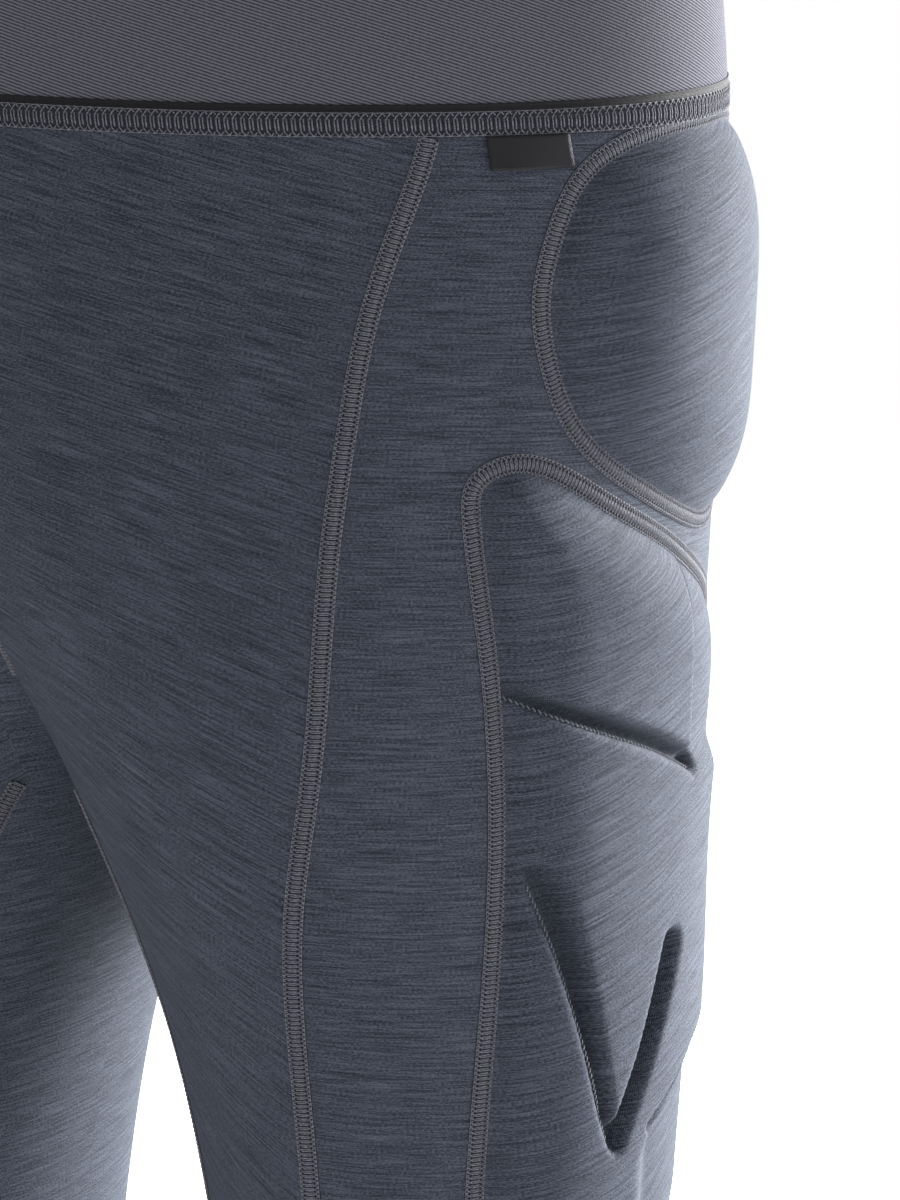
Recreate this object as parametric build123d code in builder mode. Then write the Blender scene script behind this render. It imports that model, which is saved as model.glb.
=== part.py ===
from build123d import *
import math
import os

os.makedirs("parts", exist_ok=True)

# Padded impact shorts, worn size M, laid over the body shape they are cut for.
# Millimetres. +Z up, front faces -Y, the wearer's left side is +X.
# The origin is the centre of the waist opening; every level is a depth below it.

# ---- driving dimensions ----
WAIST_HALF = 180.0
HIP_HALF = 177.0
HEM_HALF = 156.0
FRONT_RISE = 263.0
TOTAL_LENGTH = 500.0
BAND_HEIGHT = 42.0
BAND_THICK = 2.4
CLOTH = 1.2
CLEAR = 0.4
SEAM_WIDTH = 6.0
SEAM_THICK = 0.8
PAD_THICK = 10.0
HEM_BAND = 22.0
GUSSET_HALF = 8.0

RISE = FRONT_RISE / 263.0
INSEAM = (TOTAL_LENGTH - FRONT_RISE) / 237.0
GIRTH = HIP_HALF / 177.0

# Hip hinge axis, parallel to X, and the two turning radii of the leg openings
HINGE_Y = -25.0 * GIRTH
HINGE_Z = -175.0 * RISE
INNER_TURN = 97.0 * max(GIRTH, RISE)
OUTER_TURN = 69.0 * max(GIRTH, RISE)
STEP_X = 134.0 * GIRTH
BACK_RAY = 36.0
BACK_GAP = 7.0


def level(depth):
    """Height of a depth measured on the size M pattern."""
    if depth <= 263.0:
        return -depth * RISE
    return -(FRONT_RISE + (depth - 263.0) * INSEAM)


# depth, outer half width, leg centre, front, back of the body shape at that depth
LEVELS = (
    (-12.0, WAIST_HALF - 1.0 * GIRTH, 0.0, -105.0, 117.0),
    (0.0, WAIST_HALF, 0.0, -106.0, 118.0),
    (42.0, WAIST_HALF + 2.0 * GIRTH, 0.0, -109.0, 123.0),
    (115.0, HIP_HALF, 9.0, -115.0, 132.0),
    (170.0, HIP_HALF - 6.0, 36.0, -113.0, 136.0),
    (220.0, HIP_HALF - 12.0, 64.0, -106.0, 129.0),
    (263.0, 0.4 * HIP_HALF + 0.6 * HEM_HALF - 1.4, 77.0, -98.0, 111.0),
    (311.0, HEM_HALF + 7.5, 88.0, -88.0, 97.0),
    (366.0, HEM_HALF + 5.0, 94.0, -79.0, 87.0),
    (436.0, HEM_HALF + 2.0, 97.0, -70.0, 78.0),
    (500.0, HEM_HALF, 99.0, -64.0, 71.0),
    (515.0, HEM_HALF - 1.0, 99.5, -63.0, 70.0),
)


def form(grow):
    """Solid of the wearer's left half, its skin moved outward by grow."""
    with BuildPart() as body:
        for depth, outer, centre, front, back in LEVELS:
            middle = centre * GIRTH
            with BuildSketch(Plane.XY.offset(level(depth))):
                with Locations((middle, (front + back) / 2.0 * GIRTH)):
                    Ellipse(outer - middle + grow, (back - front) / 2.0 * GIRTH + grow)
        loft()
    return body.part


FORMS = {}


def layer(inner, outer):
    """Shell between two offsets of the body shape, on the +X side."""
    for grow in (inner, outer):
        if grow not in FORMS:
            FORMS[grow] = form(grow)
    with BuildPart() as shell:
        add(FORMS[outer])
        add(FORMS[inner], mode=Mode.SUBTRACT)
        with Locations((150.0, 0.0, -250.0)):
            Box(300.0, 500.0, 1400.0, mode=Mode.INTERSECT)
    return shell.part


def block(x0, x1, y0, y1, top, bottom):
    """Plain box between two depths given as heights."""
    with BuildPart() as box:
        with Locations(((x0 + x1) / 2.0, (y0 + y1) / 2.0, (top + bottom) / 2.0)):
            Box(x1 - x0, y1 - y0, top - bottom)
    return box.part


# ---- turning regions: the pelvis side and the leg side of each hip ----
FAR = 700.0


def ray_end(angle):
    """Far point on a ray from the hinge down toward the back."""
    a = math.radians(angle)
    return (HINGE_Y + FAR * math.cos(a), HINGE_Z - FAR * math.sin(a))


def pelvis_slab(radius, x0, x1):
    with BuildPart() as slab:
        with BuildSketch(Plane.YZ.offset(x0)):
            with Locations((HINGE_Y, HINGE_Z)):
                Circle(radius - 0.5)
            with Locations((0.0, HINGE_Z + FAR / 2.0)):
                Rectangle(2.0 * FAR, FAR)
            with BuildLine():
                Polyline(
                    (HINGE_Y, HINGE_Z),
                    ray_end(BACK_RAY),
                    (HINGE_Y + FAR, HINGE_Z + 1.0),
                    (HINGE_Y, HINGE_Z + 1.0),
                    close=True,
                )
            make_face()
        extrude(amount=x1 - x0)
    return slab.part


def leg_slab(radius, x0, x1):
    with BuildPart() as slab:
        with BuildSketch(Plane.YZ.offset(x0)):
            with Locations((0.0, HINGE_Z - FAR / 2.0)):
                Rectangle(2.0 * FAR, FAR)
            with Locations((HINGE_Y, HINGE_Z)):
                Circle(radius + 0.5, mode=Mode.SUBTRACT)
            with BuildLine():
                Polyline(
                    (HINGE_Y, HINGE_Z),
                    ray_end(BACK_RAY + BACK_GAP),
                    (HINGE_Y + 2.0 * FAR, HINGE_Z - FAR),
                    (HINGE_Y + 2.0 * FAR, HINGE_Z + 5.0),
                    (HINGE_Y, HINGE_Z + 5.0),
                    close=True,
                )
            make_face(mode=Mode.SUBTRACT)
        extrude(amount=x1 - x0)
    return slab.part


SIDE_X = 300.0
with BuildPart() as pelvis_region:
    add(pelvis_slab(INNER_TURN, 0.0, STEP_X - 0.25))
    add(pelvis_slab(OUTER_TURN, STEP_X - 0.3, SIDE_X))

with BuildPart() as leg_region:
    add(leg_slab(INNER_TURN, GUSSET_HALF + CLEAR, STEP_X + 0.3))
    add(leg_slab(OUTER_TURN, STEP_X + 0.25, SIDE_X))

# ---- pattern regions, cut square through the front, the back or the side ----
BAND_FOOT = level(42.0) if BAND_HEIGHT == 42.0 else -BAND_HEIGHT
BODY_TOP = BAND_FOOT - CLEAR
SEAM_TOP = BAND_FOOT - 5.0
HEM_Z = -TOTAL_LENGTH
BODY_HEM = HEM_Z + HEM_BAND + CLEAR
LOW = HEM_Z - 60.0
HIGH = 60.0

# Seam lines as (half width, depth) seen square from the front or the back
FRONT_SEAM = ((138.0, 20.0), (135.0, 48.0), (121.0, 102.0), (113.0, 168.0),
              (108.0, 235.0), (101.0, 278.0), (99.0, 340.0), (99.0, 520.0))
BACK_SEAM = ((130.0, 20.0), (126.0, 47.0), (114.0, 150.0), (104.0, 250.0),
             (98.0, 345.0), (99.0, 520.0))
INSEAM_LINE = ((-6.0, 228.0), (9.0, 250.0), (28.0, 290.0), (35.0, 325.0),
               (42.0, 352.0), (52.0, 420.0), (60.0, 520.0))


def strip(line, shift0, shift1, y0, y1):
    """Prism between two copies of a seam line moved sideways, from y0 to y1."""
    left = [(x * GIRTH + shift0, level(d)) for x, d in line]
    right = [(x * GIRTH + shift1, level(d)) for x, d in line]
    with BuildPart() as prism:
        with BuildSketch(Plane.XZ.offset(-y1)):
            with BuildLine():
                Spline(*left)
                Spline(*right)
                Line(left[0], right[0])
                Line(left[-1], right[-1])
            make_face()
        extrude(amount=y1 - y0)
    return prism.part


MID_Y = 5.0
FAR_Y = 200.0
GAP = CLEAR / 2.0
with BuildPart() as side_region:
    add(strip(FRONT_SEAM, GAP, 200.0, -FAR_Y, MID_Y))
    add(strip(BACK_SEAM, GAP, 200.0, MID_Y - 0.1, FAR_Y))

with BuildPart() as front_body_region:
    add(strip(FRONT_SEAM, -400.0, -GAP, -FAR_Y, MID_Y))
    add(block(GAP, SIDE_X, -FAR_Y, MID_Y, HIGH, LOW), mode=Mode.INTERSECT)

with BuildPart() as seat_region:
    add(strip(BACK_SEAM, -400.0, -GAP, MID_Y + CLEAR, FAR_Y))
    add(block(GAP, SIDE_X, MID_Y, FAR_Y, HIGH, LOW), mode=Mode.INTERSECT)

with BuildPart() as leg_front_region:
    add(strip(FRONT_SEAM, -400.0, -GAP, -FAR_Y, MID_Y))
    add(strip(INSEAM_LINE, -400.0, GAP, -FAR_Y - 1.0, MID_Y + 1.0), mode=Mode.SUBTRACT)

with BuildPart() as leg_back_region:
    add(strip(BACK_SEAM, -400.0, -GAP, MID_Y - 0.1, FAR_Y))
    add(strip(INSEAM_LINE, -400.0, -GAP, -FAR_Y, MID_Y))

GUSSET_TOP = level(215.0)
gusset_room = block(-1.0, GUSSET_HALF + CLEAR, -FAR_Y, FAR_Y, GUSSET_TOP + CLEAR, LOW)

# ---- plain cloth panels ----
cloth = layer(-CLOTH, 0.0)
body_span = block(0.0, SIDE_X, -FAR_Y, FAR_Y, BODY_TOP, BODY_HEM)

with BuildPart() as front_panel:
    add(cloth)
    add(body_span, mode=Mode.INTERSECT)
    add(front_body_region.part, mode=Mode.INTERSECT)
    add(pelvis_region.part, mode=Mode.INTERSECT)
    add(gusset_room, mode=Mode.SUBTRACT)

with BuildPart() as side_panel:
    add(cloth)
    add(body_span, mode=Mode.INTERSECT)
    add(side_region.part, mode=Mode.INTERSECT)
    add(pelvis_region.part, mode=Mode.INTERSECT)

with BuildPart() as seat_panel:
    add(cloth)
    add(body_span, mode=Mode.INTERSECT)
    add(seat_region.part, mode=Mode.INTERSECT)
    add(pelvis_region.part, mode=Mode.INTERSECT)
    add(gusset_room, mode=Mode.SUBTRACT)

with BuildPart() as leg_front_panel:
    add(cloth)
    add(body_span, mode=Mode.INTERSECT)
    add(leg_front_region.part, mode=Mode.INTERSECT)
    add(leg_region.part, mode=Mode.INTERSECT)

with BuildPart() as leg_side_panel:
    add(cloth)
    add(body_span, mode=Mode.INTERSECT)
    add(side_region.part, mode=Mode.INTERSECT)
    add(leg_region.part, mode=Mode.INTERSECT)

with BuildPart() as leg_back_panel:
    add(cloth)
    add(body_span, mode=Mode.INTERSECT)
    add(leg_back_region.part, mode=Mode.INTERSECT)
    add(leg_region.part, mode=Mode.INTERSECT)

# ---- pads, cut square through the side ----
HIP_OUTLINE = ((8.0, 48.0), (-20.0, 51.0), (-38.0, 60.0), (-47.0, 80.0), (-48.0, 102.0),
               (-40.0, 126.0), (-24.0, 143.0), (0.0, 157.0), (26.0, 167.0), (50.0, 168.0),
               (70.0, 155.0), (82.0, 125.0), (80.0, 88.0), (60.0, 60.0), (36.0, 49.0))
THIGH_FRONT = (-62.0, -53.0)
THIGH_REAR = (74.0, 68.0)
THIGH_TOP_DEPTH = 143.0
THIGH_REAR_DEPTH = 208.0
THIGH_FOOT = 402.0


SIDE_CUT = Plane.YZ.offset(90.0 * GIRTH)


def hip_outline(shift):
    """Rounded hip pad shape on the side, moved outward by shift."""
    spots = [(y * GIRTH, level(d)) for y, d in HIP_OUTLINE]
    points = []
    for index, (y, z) in enumerate(spots):
        before = spots[index - 1]
        after = spots[(index + 1) % len(spots)]
        run = math.hypot(after[0] - before[0], after[1] - before[1])
        out_y = (after[1] - before[1]) / run
        out_z = -(after[0] - before[0]) / run
        points.append((y + out_y * shift, z + out_z * shift))
    with BuildSketch(SIDE_CUT) as face:
        with BuildLine():
            Spline(*points, periodic=True)
        make_face()
    return face.sketch


def thigh_outline(shift):
    """Thigh pad shape on the side: slanted rounded top, long front edge."""
    front = THIGH_FRONT[0] * GIRTH - shift
    front_low = THIGH_FRONT[1] * GIRTH - shift
    rear = THIGH_REAR[0] * GIRTH + shift
    rear_low = THIGH_REAR[1] * GIRTH + shift
    foot = level(THIGH_FOOT) - shift
    corner = 15.0
    front_top = (front, level(THIGH_TOP_DEPTH + 16.0))
    top_start = (-54.0 * GIRTH, level(THIGH_TOP_DEPTH + 1.5) + shift)
    top_mid = (-24.0 * GIRTH + 0.4 * shift, level(157.5) + 0.92 * shift)
    top_low = (7.0 * GIRTH + 0.4 * shift, level(172.5) + 0.9 * shift)
    top_end = (rear - 18.0 - 0.5 * shift, level(THIGH_REAR_DEPTH - 10.0) + 0.85 * shift)
    rear_top = (rear, level(THIGH_REAR_DEPTH + 12.0))
    with BuildSketch(SIDE_CUT) as face:
        with BuildLine():
            Spline(front_top, top_start, tangents=((0, 1), (1, 0)))
            Spline(top_start, top_mid, top_low, top_end, tangents=((1, 0), (1, -0.6)))
            Spline(top_end, rear_top, tangents=((1, -0.6), (0, -1)))
            Line(rear_top, (rear_low, foot + corner))
            Spline((rear_low, foot + corner), (rear_low - corner, foot),
                   tangents=((0, -1), (-1, 0)))
            Line((rear_low - corner, foot), (front_low + corner, foot))
            Spline((front_low + corner, foot), (front_low, foot + corner),
                   tangents=((-1, 0), (0, 1)))
            Line((front_low, foot + corner), front_top)
        make_face()
    return face.sketch


def side_prism(sketch):
    """Side outline pushed through the outer half of the garment."""
    with BuildPart() as prism:
        extrude(to_extrude=sketch, amount=220.0, dir=(1, 0, 0))
    return prism.part


HALF_SEAM = SEAM_WIDTH / 2.0
COVER_IN = -(HALF_SEAM + CLEAR)
FOAM_IN = COVER_IN - CLOTH - CLEAR

pad_shell = layer(CLEAR, PAD_THICK)
pad_inside = form(PAD_THICK - CLOTH)
foam_shell = layer(CLEAR, PAD_THICK - CLOTH - CLEAR)
hip_cover_prism = side_prism(hip_outline(COVER_IN))
hip_hollow_prism = side_prism(hip_outline(COVER_IN - CLOTH))
hip_foam_prism = side_prism(hip_outline(FOAM_IN))
thigh_cover_prism = side_prism(thigh_outline(COVER_IN))
thigh_hollow_prism = side_prism(thigh_outline(COVER_IN - CLOTH))
thigh_foam_prism = side_prism(thigh_outline(FOAM_IN))

with BuildPart() as hip_hollow:
    add(pad_inside)
    add(hip_hollow_prism, mode=Mode.INTERSECT)

with BuildPart() as thigh_hollow:
    add(pad_inside)
    add(thigh_hollow_prism, mode=Mode.INTERSECT)

with BuildPart() as hip_cover:
    add(pad_shell)
    add(hip_cover_prism, mode=Mode.INTERSECT)
    add(hip_hollow.part, mode=Mode.SUBTRACT)

with BuildPart() as hip_foam:
    add(foam_shell)
    add(hip_foam_prism, mode=Mode.INTERSECT)

with BuildPart() as thigh_cover:
    add(pad_shell)
    add(thigh_cover_prism, mode=Mode.INTERSECT)
    add(thigh_hollow.part, mode=Mode.SUBTRACT)

with BuildPart() as thigh_cover_upper:
    add(thigh_cover.part)
    add(pelvis_region.part, mode=Mode.INTERSECT)

with BuildPart() as thigh_cover_lower:
    add(thigh_cover.part)
    add(leg_region.part, mode=Mode.INTERSECT)

with BuildPart() as thigh_foam:
    add(foam_shell)
    add(thigh_foam_prism, mode=Mode.INTERSECT)

# Grooves that part the thigh foam into blocks, as (y, depth) on the side
GROOVE = 3.0
REAR_GROOVE_Y = 18.0
V_FRONT = (-64.0, 240.0)
V_FOOT = (-19.0, 350.0)
V_REAR = (20.0, 288.0)


def foam_room(points, shift_y, shift_z):
    """Upright prism over a (y, depth) outline on the side, moved by the shifts."""
    spots = [(y * GIRTH + shift_y, level(d) + shift_z) for y, d in points]
    with BuildPart() as room:
        with BuildSketch(Plane.YZ.offset(90.0 * GIRTH)):
            with BuildLine():
                Polyline(*spots, close=True)
            make_face()
        extrude(amount=220.0)
    return room.part


with BuildPart() as upper_foam:
    add(thigh_foam.part)
    add(pelvis_region.part, mode=Mode.INTERSECT)

with BuildPart() as thigh_foam_upper_front:
    add(upper_foam.part)
    add(block(0.0, SIDE_X, -FAR_Y, REAR_GROOVE_Y * GIRTH, HIGH, LOW), mode=Mode.INTERSECT)

with BuildPart() as thigh_foam_upper_rear:
    add(upper_foam.part)
    add(block(0.0, SIDE_X, REAR_GROOVE_Y * GIRTH + GROOVE, FAR_Y, HIGH, LOW),
        mode=Mode.INTERSECT)

REAR_END = 95.0
UNDER = THIGH_FOOT + 20.0
v_line = (V_FRONT, V_FOOT, V_REAR, (REAR_END, V_REAR[1] - 2.0))
with BuildPart() as lower_foam:
    add(thigh_foam.part)
    add(leg_region.part, mode=Mode.INTERSECT)

with BuildPart() as thigh_foam_main:
    add(lower_foam.part)
    add(foam_room(v_line + ((REAR_END, 150.0), (V_FRONT[0], 150.0)), 0.0, GROOVE),
        mode=Mode.INTERSECT)

with BuildPart() as thigh_foam_low_front:
    add(lower_foam.part)
    add(foam_room((V_FRONT, V_FOOT, (V_FOOT[0], UNDER), (V_FRONT[0], UNDER)), -GROOVE, 0.0),
        mode=Mode.INTERSECT)

with BuildPart() as thigh_foam_low_rear:
    add(lower_foam.part)
    add(foam_room(v_line[1:] + ((REAR_END, UNDER), (V_FOOT[0], UNDER)), GROOVE, -GROOVE),
        mode=Mode.INTERSECT)

# ---- flatlock seams, laid on the cloth ----
seam_shell = layer(CLEAR, CLEAR + SEAM_THICK)
seam_span = block(0.0, SIDE_X, -FAR_Y, FAR_Y, SEAM_TOP, BODY_HEM)

with BuildPart() as front_seam:
    add(seam_shell)
    add(seam_span, mode=Mode.INTERSECT)
    add(strip(FRONT_SEAM, -HALF_SEAM, HALF_SEAM, -FAR_Y, MID_Y), mode=Mode.INTERSECT)

with BuildPart() as front_seam_upper:
    add(front_seam.part)
    add(pelvis_region.part, mode=Mode.INTERSECT)

with BuildPart() as front_seam_lower:
    add(front_seam.part)
    add(leg_region.part, mode=Mode.INTERSECT)

with BuildPart() as back_seam:
    add(seam_shell)
    add(seam_span, mode=Mode.INTERSECT)
    add(strip(BACK_SEAM, -HALF_SEAM, HALF_SEAM, MID_Y, FAR_Y), mode=Mode.INTERSECT)

with BuildPart() as back_seam_upper:
    add(back_seam.part)
    add(pelvis_region.part, mode=Mode.INTERSECT)

with BuildPart() as back_seam_lower:
    add(back_seam.part)
    add(leg_region.part, mode=Mode.INTERSECT)

with BuildPart() as inseam_seam:
    add(seam_shell)
    add(seam_span, mode=Mode.INTERSECT)
    add(strip(INSEAM_LINE, -HALF_SEAM, HALF_SEAM, -FAR_Y, MID_Y), mode=Mode.INTERSECT)
    add(leg_region.part, mode=Mode.INTERSECT)

with BuildPart() as hip_cover_seam:
    add(seam_shell)
    add(side_prism(hip_outline(HALF_SEAM)), mode=Mode.INTERSECT)
    add(side_prism(hip_outline(-HALF_SEAM)), mode=Mode.SUBTRACT)
    add(seam_span, mode=Mode.INTERSECT)

with BuildPart() as thigh_cover_seam:
    add(seam_shell)
    add(side_prism(thigh_outline(HALF_SEAM)), mode=Mode.INTERSECT)
    add(side_prism(thigh_outline(-HALF_SEAM)), mode=Mode.SUBTRACT)

with BuildPart() as thigh_cover_seam_upper:
    add(thigh_cover_seam.part)
    add(pelvis_region.part, mode=Mode.INTERSECT)

with BuildPart() as thigh_cover_seam_lower:
    add(thigh_cover_seam.part)
    add(leg_region.part, mode=Mode.INTERSECT)

with BuildPart() as hem_gripper:
    add(layer(-CLOTH, CLEAR))
    add(block(0.0, SIDE_X, -FAR_Y, FAR_Y, HEM_Z + HEM_BAND, HEM_Z), mode=Mode.INTERSECT)

# ---- pieces on the middle line ----


def both_sides(half):
    """A left half and its mirror image, joined across the middle plane."""
    with BuildPart() as whole:
        add(half)
        mirror(about=Plane.YZ)
    return whole.part


with BuildPart() as gusset_half:
    add(cloth)
    add(block(0.0, GUSSET_HALF, -FAR_Y, FAR_Y, GUSSET_TOP, LOW), mode=Mode.INTERSECT)

with BuildPart() as crotch_gusset:
    add(both_sides(gusset_half.part))

with BuildPart() as band_half:
    add(layer(CLEAR - BAND_THICK, CLEAR))
    add(block(0.0, SIDE_X, -FAR_Y, FAR_Y, 0.0, BAND_FOOT), mode=Mode.INTERSECT)

with BuildPart() as waistband:
    add(both_sides(band_half.part))

with BuildPart() as stitch_half:
    add(layer(2.0 * CLEAR, 2.0 * CLEAR + SEAM_THICK))
    add(block(0.0, SIDE_X, -FAR_Y, FAR_Y, BAND_FOOT + 3.0, BAND_FOOT - 4.6),
        mode=Mode.INTERSECT)

with BuildPart() as waist_coverstitch:
    add(both_sides(stitch_half.part))

TAIL_HALF = 38.0 * GIRTH
TAIL_TOP = SEAM_TOP - 1.0 - HALF_SEAM
TAIL_FOOT = level(168.0)


def tail_prism(inset):
    """Half of the rounded tailbone pad shape, seen from the back."""
    wide = TAIL_HALF - inset
    with BuildPart() as prism:
        with BuildSketch(Plane.XZ.offset(-FAR_Y)):
            with BuildLine():
                Polyline((0.0, TAIL_TOP - inset), (wide, TAIL_TOP - inset))
                Spline(
                    (wide, TAIL_TOP - inset),
                    (wide - 4.0 * GIRTH, TAIL_TOP - 50.0 * RISE),
                    (0.0, TAIL_FOOT + inset),
                    tangents=((0, -1), (-1, 0)),
                )
                Line((0.0, TAIL_FOOT + inset), (0.0, TAIL_TOP - inset))
            make_face()
        extrude(amount=FAR_Y - MID_Y)
    return prism.part


TAIL_THICK = 8.0
with BuildPart() as tail_cover_half:
    add(layer(CLEAR, TAIL_THICK))
    add(tail_prism(0.0), mode=Mode.INTERSECT)
    with BuildPart(mode=Mode.SUBTRACT):
        add(form(TAIL_THICK - CLOTH))
        add(tail_prism(CLOTH), mode=Mode.INTERSECT)

with BuildPart() as tailbone_cover:
    add(both_sides(tail_cover_half.part))

with BuildPart() as tail_foam_half:
    add(layer(CLEAR, TAIL_THICK - CLOTH - CLEAR))
    add(tail_prism(CLOTH + CLEAR), mode=Mode.INTERSECT)

with BuildPart() as tailbone_foam:
    add(both_sides(tail_foam_half.part))

with BuildPart() as centre_front_half:
    add(seam_shell)
    add(block(0.0, HALF_SEAM, -FAR_Y, MID_Y, SEAM_TOP, GUSSET_TOP + 1.0),
        mode=Mode.INTERSECT)

with BuildPart() as centre_front_seam:
    add(both_sides(centre_front_half.part))

with BuildPart() as centre_back_half:
    add(seam_shell)
    add(block(0.0, HALF_SEAM, MID_Y, FAR_Y, TAIL_FOOT - 2.0, GUSSET_TOP + 1.0),
        mode=Mode.INTERSECT)

with BuildPart() as centre_back_seam:
    add(both_sides(centre_back_half.part))

# Woven tag caught under the waist seam, beside the hip pad
TAG_X = 147.0 * GIRTH
TAG_WIDE = 13.0
TAG_TALL = 10.0
with BuildPart() as side_label:
    add(layer(CLEAR, CLEAR + 0.5))
    add(block(TAG_X, TAG_X + TAG_WIDE, -FAR_Y, 0.0, SEAM_TOP, SEAM_TOP - TAG_TALL),
        mode=Mode.INTERSECT)

# Care label inside the centre back
with BuildPart() as care_half:
    add(layer(CLEAR - BAND_THICK - 0.9, CLEAR - BAND_THICK - 0.4))
    add(block(0.0, 16.0, MID_Y, FAR_Y, BAND_FOOT + 6.0, BAND_FOOT - 34.0),
        mode=Mode.INTERSECT)

with BuildPart() as care_label:
    add(both_sides(care_half.part))

# ---- files ----
PAIRS = {
    "front_panel": front_panel,
    "side_panel": side_panel,
    "seat_panel": seat_panel,
    "hip_cover": hip_cover,
    "hip_foam": hip_foam,
    "hip_cover_seam": hip_cover_seam,
    "thigh_cover_upper": thigh_cover_upper,
    "thigh_foam_upper_front": thigh_foam_upper_front,
    "thigh_foam_upper_rear": thigh_foam_upper_rear,
    "thigh_cover_seam_upper": thigh_cover_seam_upper,
    "front_seam_upper": front_seam_upper,
    "back_seam_upper": back_seam_upper,
    "leg_front_panel": leg_front_panel,
    "leg_side_panel": leg_side_panel,
    "leg_back_panel": leg_back_panel,
    "thigh_cover_lower": thigh_cover_lower,
    "thigh_foam_main": thigh_foam_main,
    "thigh_foam_low_front": thigh_foam_low_front,
    "thigh_foam_low_rear": thigh_foam_low_rear,
    "thigh_cover_seam_lower": thigh_cover_seam_lower,
    "front_seam_lower": front_seam_lower,
    "back_seam_lower": back_seam_lower,
    "inseam_seam": inseam_seam,
    "hem_gripper": hem_gripper,
}
SINGLES = {
    "waistband": waistband,
    "waist_coverstitch": waist_coverstitch,
    "crotch_gusset": crotch_gusset,
    "tailbone_cover": tailbone_cover,
    "tailbone_foam": tailbone_foam,
    "centre_front_seam": centre_front_seam,
    "centre_back_seam": centre_back_seam,
    "care_label": care_label,
    "left_side_label": side_label,
}

for name, piece in SINGLES.items():
    piece.part.label = name
    export_step(piece.part, f"parts/{name}.step")

for name, piece in PAIRS.items():
    piece.part.label = f"left_{name}"
    export_step(piece.part, f"parts/left_{name}.step")
    with BuildPart() as twin:
        add(mirror(piece.part, about=Plane.YZ))
    twin.part.label = f"right_{name}"
    export_step(twin.part, f"parts/right_{name}.step")
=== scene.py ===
"""Padded impact shorts: heather jersey panels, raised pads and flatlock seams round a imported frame."""

import logging
import math
from dataclasses import dataclass, field
from enum import Enum

import bpy
import numpy as np
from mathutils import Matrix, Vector


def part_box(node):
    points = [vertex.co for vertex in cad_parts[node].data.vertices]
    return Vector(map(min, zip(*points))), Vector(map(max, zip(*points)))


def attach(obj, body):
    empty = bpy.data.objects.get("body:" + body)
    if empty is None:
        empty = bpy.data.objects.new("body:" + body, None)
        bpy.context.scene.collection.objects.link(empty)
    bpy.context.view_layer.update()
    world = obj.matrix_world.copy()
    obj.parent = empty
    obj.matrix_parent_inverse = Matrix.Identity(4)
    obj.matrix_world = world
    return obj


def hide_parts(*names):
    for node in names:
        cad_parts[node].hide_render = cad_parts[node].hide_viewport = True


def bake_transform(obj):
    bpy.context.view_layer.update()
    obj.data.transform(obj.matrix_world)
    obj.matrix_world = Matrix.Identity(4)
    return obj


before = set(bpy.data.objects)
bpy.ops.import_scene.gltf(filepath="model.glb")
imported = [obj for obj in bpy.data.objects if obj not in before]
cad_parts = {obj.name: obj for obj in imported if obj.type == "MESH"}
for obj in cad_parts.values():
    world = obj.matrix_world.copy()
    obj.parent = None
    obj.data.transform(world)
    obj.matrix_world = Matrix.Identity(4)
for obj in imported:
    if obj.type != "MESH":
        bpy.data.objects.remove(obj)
log = logging.getLogger("shorts")

MM = 0.001
PER_METRE = 1000.0
MIRROR = np.array([-1.0, 1.0, 1.0])


# ---------------------------------------------------------------- small tools
def linear(code: str) -> tuple[float, float, float, float]:
    """Turn an sRGB hex colour into linear light.

    Args:
        code: Six hex digits, with or without a leading hash.

    Returns:
        Linear red, green, blue and an alpha of one.
    """
    text = code.lstrip("#")
    values = [int(text[i : i + 2], 16) / 255.0 for i in (0, 2, 4)]
    turned = [v / 12.92 if v <= 0.04045 else ((v + 0.055) / 1.055) ** 2.4 for v in values]
    return (turned[0], turned[1], turned[2], 1.0)


def smooth(value: np.ndarray, low: float, high: float) -> np.ndarray:
    """Ease from 0 at low to 1 at high.

    Args:
        value: Numbers to ease.
        low: Where the result leaves 0.
        high: Where the result reaches 1.

    Returns:
        Eased numbers of the same shape.
    """
    t = np.clip((value - low) / (high - low), 0.0, 1.0)
    return t * t * (3.0 - 2.0 * t)


def curve_through(knots: tuple, at: np.ndarray, column: int = 1) -> np.ndarray:
    """Natural cubic through knots, so that sections flow as a sewn pattern does.

    Args:
        knots: Rows whose first number is the station.
        at: Stations wanted.
        column: Which number of each row to read.

    Returns:
        Values at the stations.
    """
    x = np.array([k[0] for k in knots], float)
    y = np.array([k[column] for k in knots], float)
    n = len(x)
    step = np.diff(x)
    a = np.eye(n)
    b = np.zeros(n)
    for i in range(1, n - 1):
        a[i, i - 1], a[i, i], a[i, i + 1] = step[i - 1], 2 * (step[i - 1] + step[i]), step[i]
        b[i] = 6 * ((y[i + 1] - y[i]) / step[i] - (y[i] - y[i - 1]) / step[i - 1])
    m = np.linalg.solve(a, b)
    s = np.clip(at, x[0], x[-1])
    k = np.clip(np.searchsorted(x, s) - 1, 0, n - 2)
    h = step[k]
    p, q = (x[k + 1] - s) / h, (s - x[k]) / h
    bend = ((p**3 - p) * m[k] + (q**3 - q) * m[k + 1]) * h * h / 6
    return p * y[k] + q * y[k + 1] + bend


def unit(rows: np.ndarray) -> np.ndarray:
    """Directions of length one.

    Args:
        rows: Directions with a last axis of 3.

    Returns:
        The same directions, each of length one.
    """
    return rows / np.linalg.norm(rows, axis=-1, keepdims=True)


def grid_quads(index: np.ndarray) -> np.ndarray:
    """Quads between the rows and columns of a sheet of points.

    Args:
        index: Point numbers as rows by columns.

    Returns:
        Corner numbers, one quad for each cell.
    """
    return np.stack([index[:-1, :-1], index[1:, :-1], index[1:, 1:], index[:-1, 1:]], axis=-1)


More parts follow.
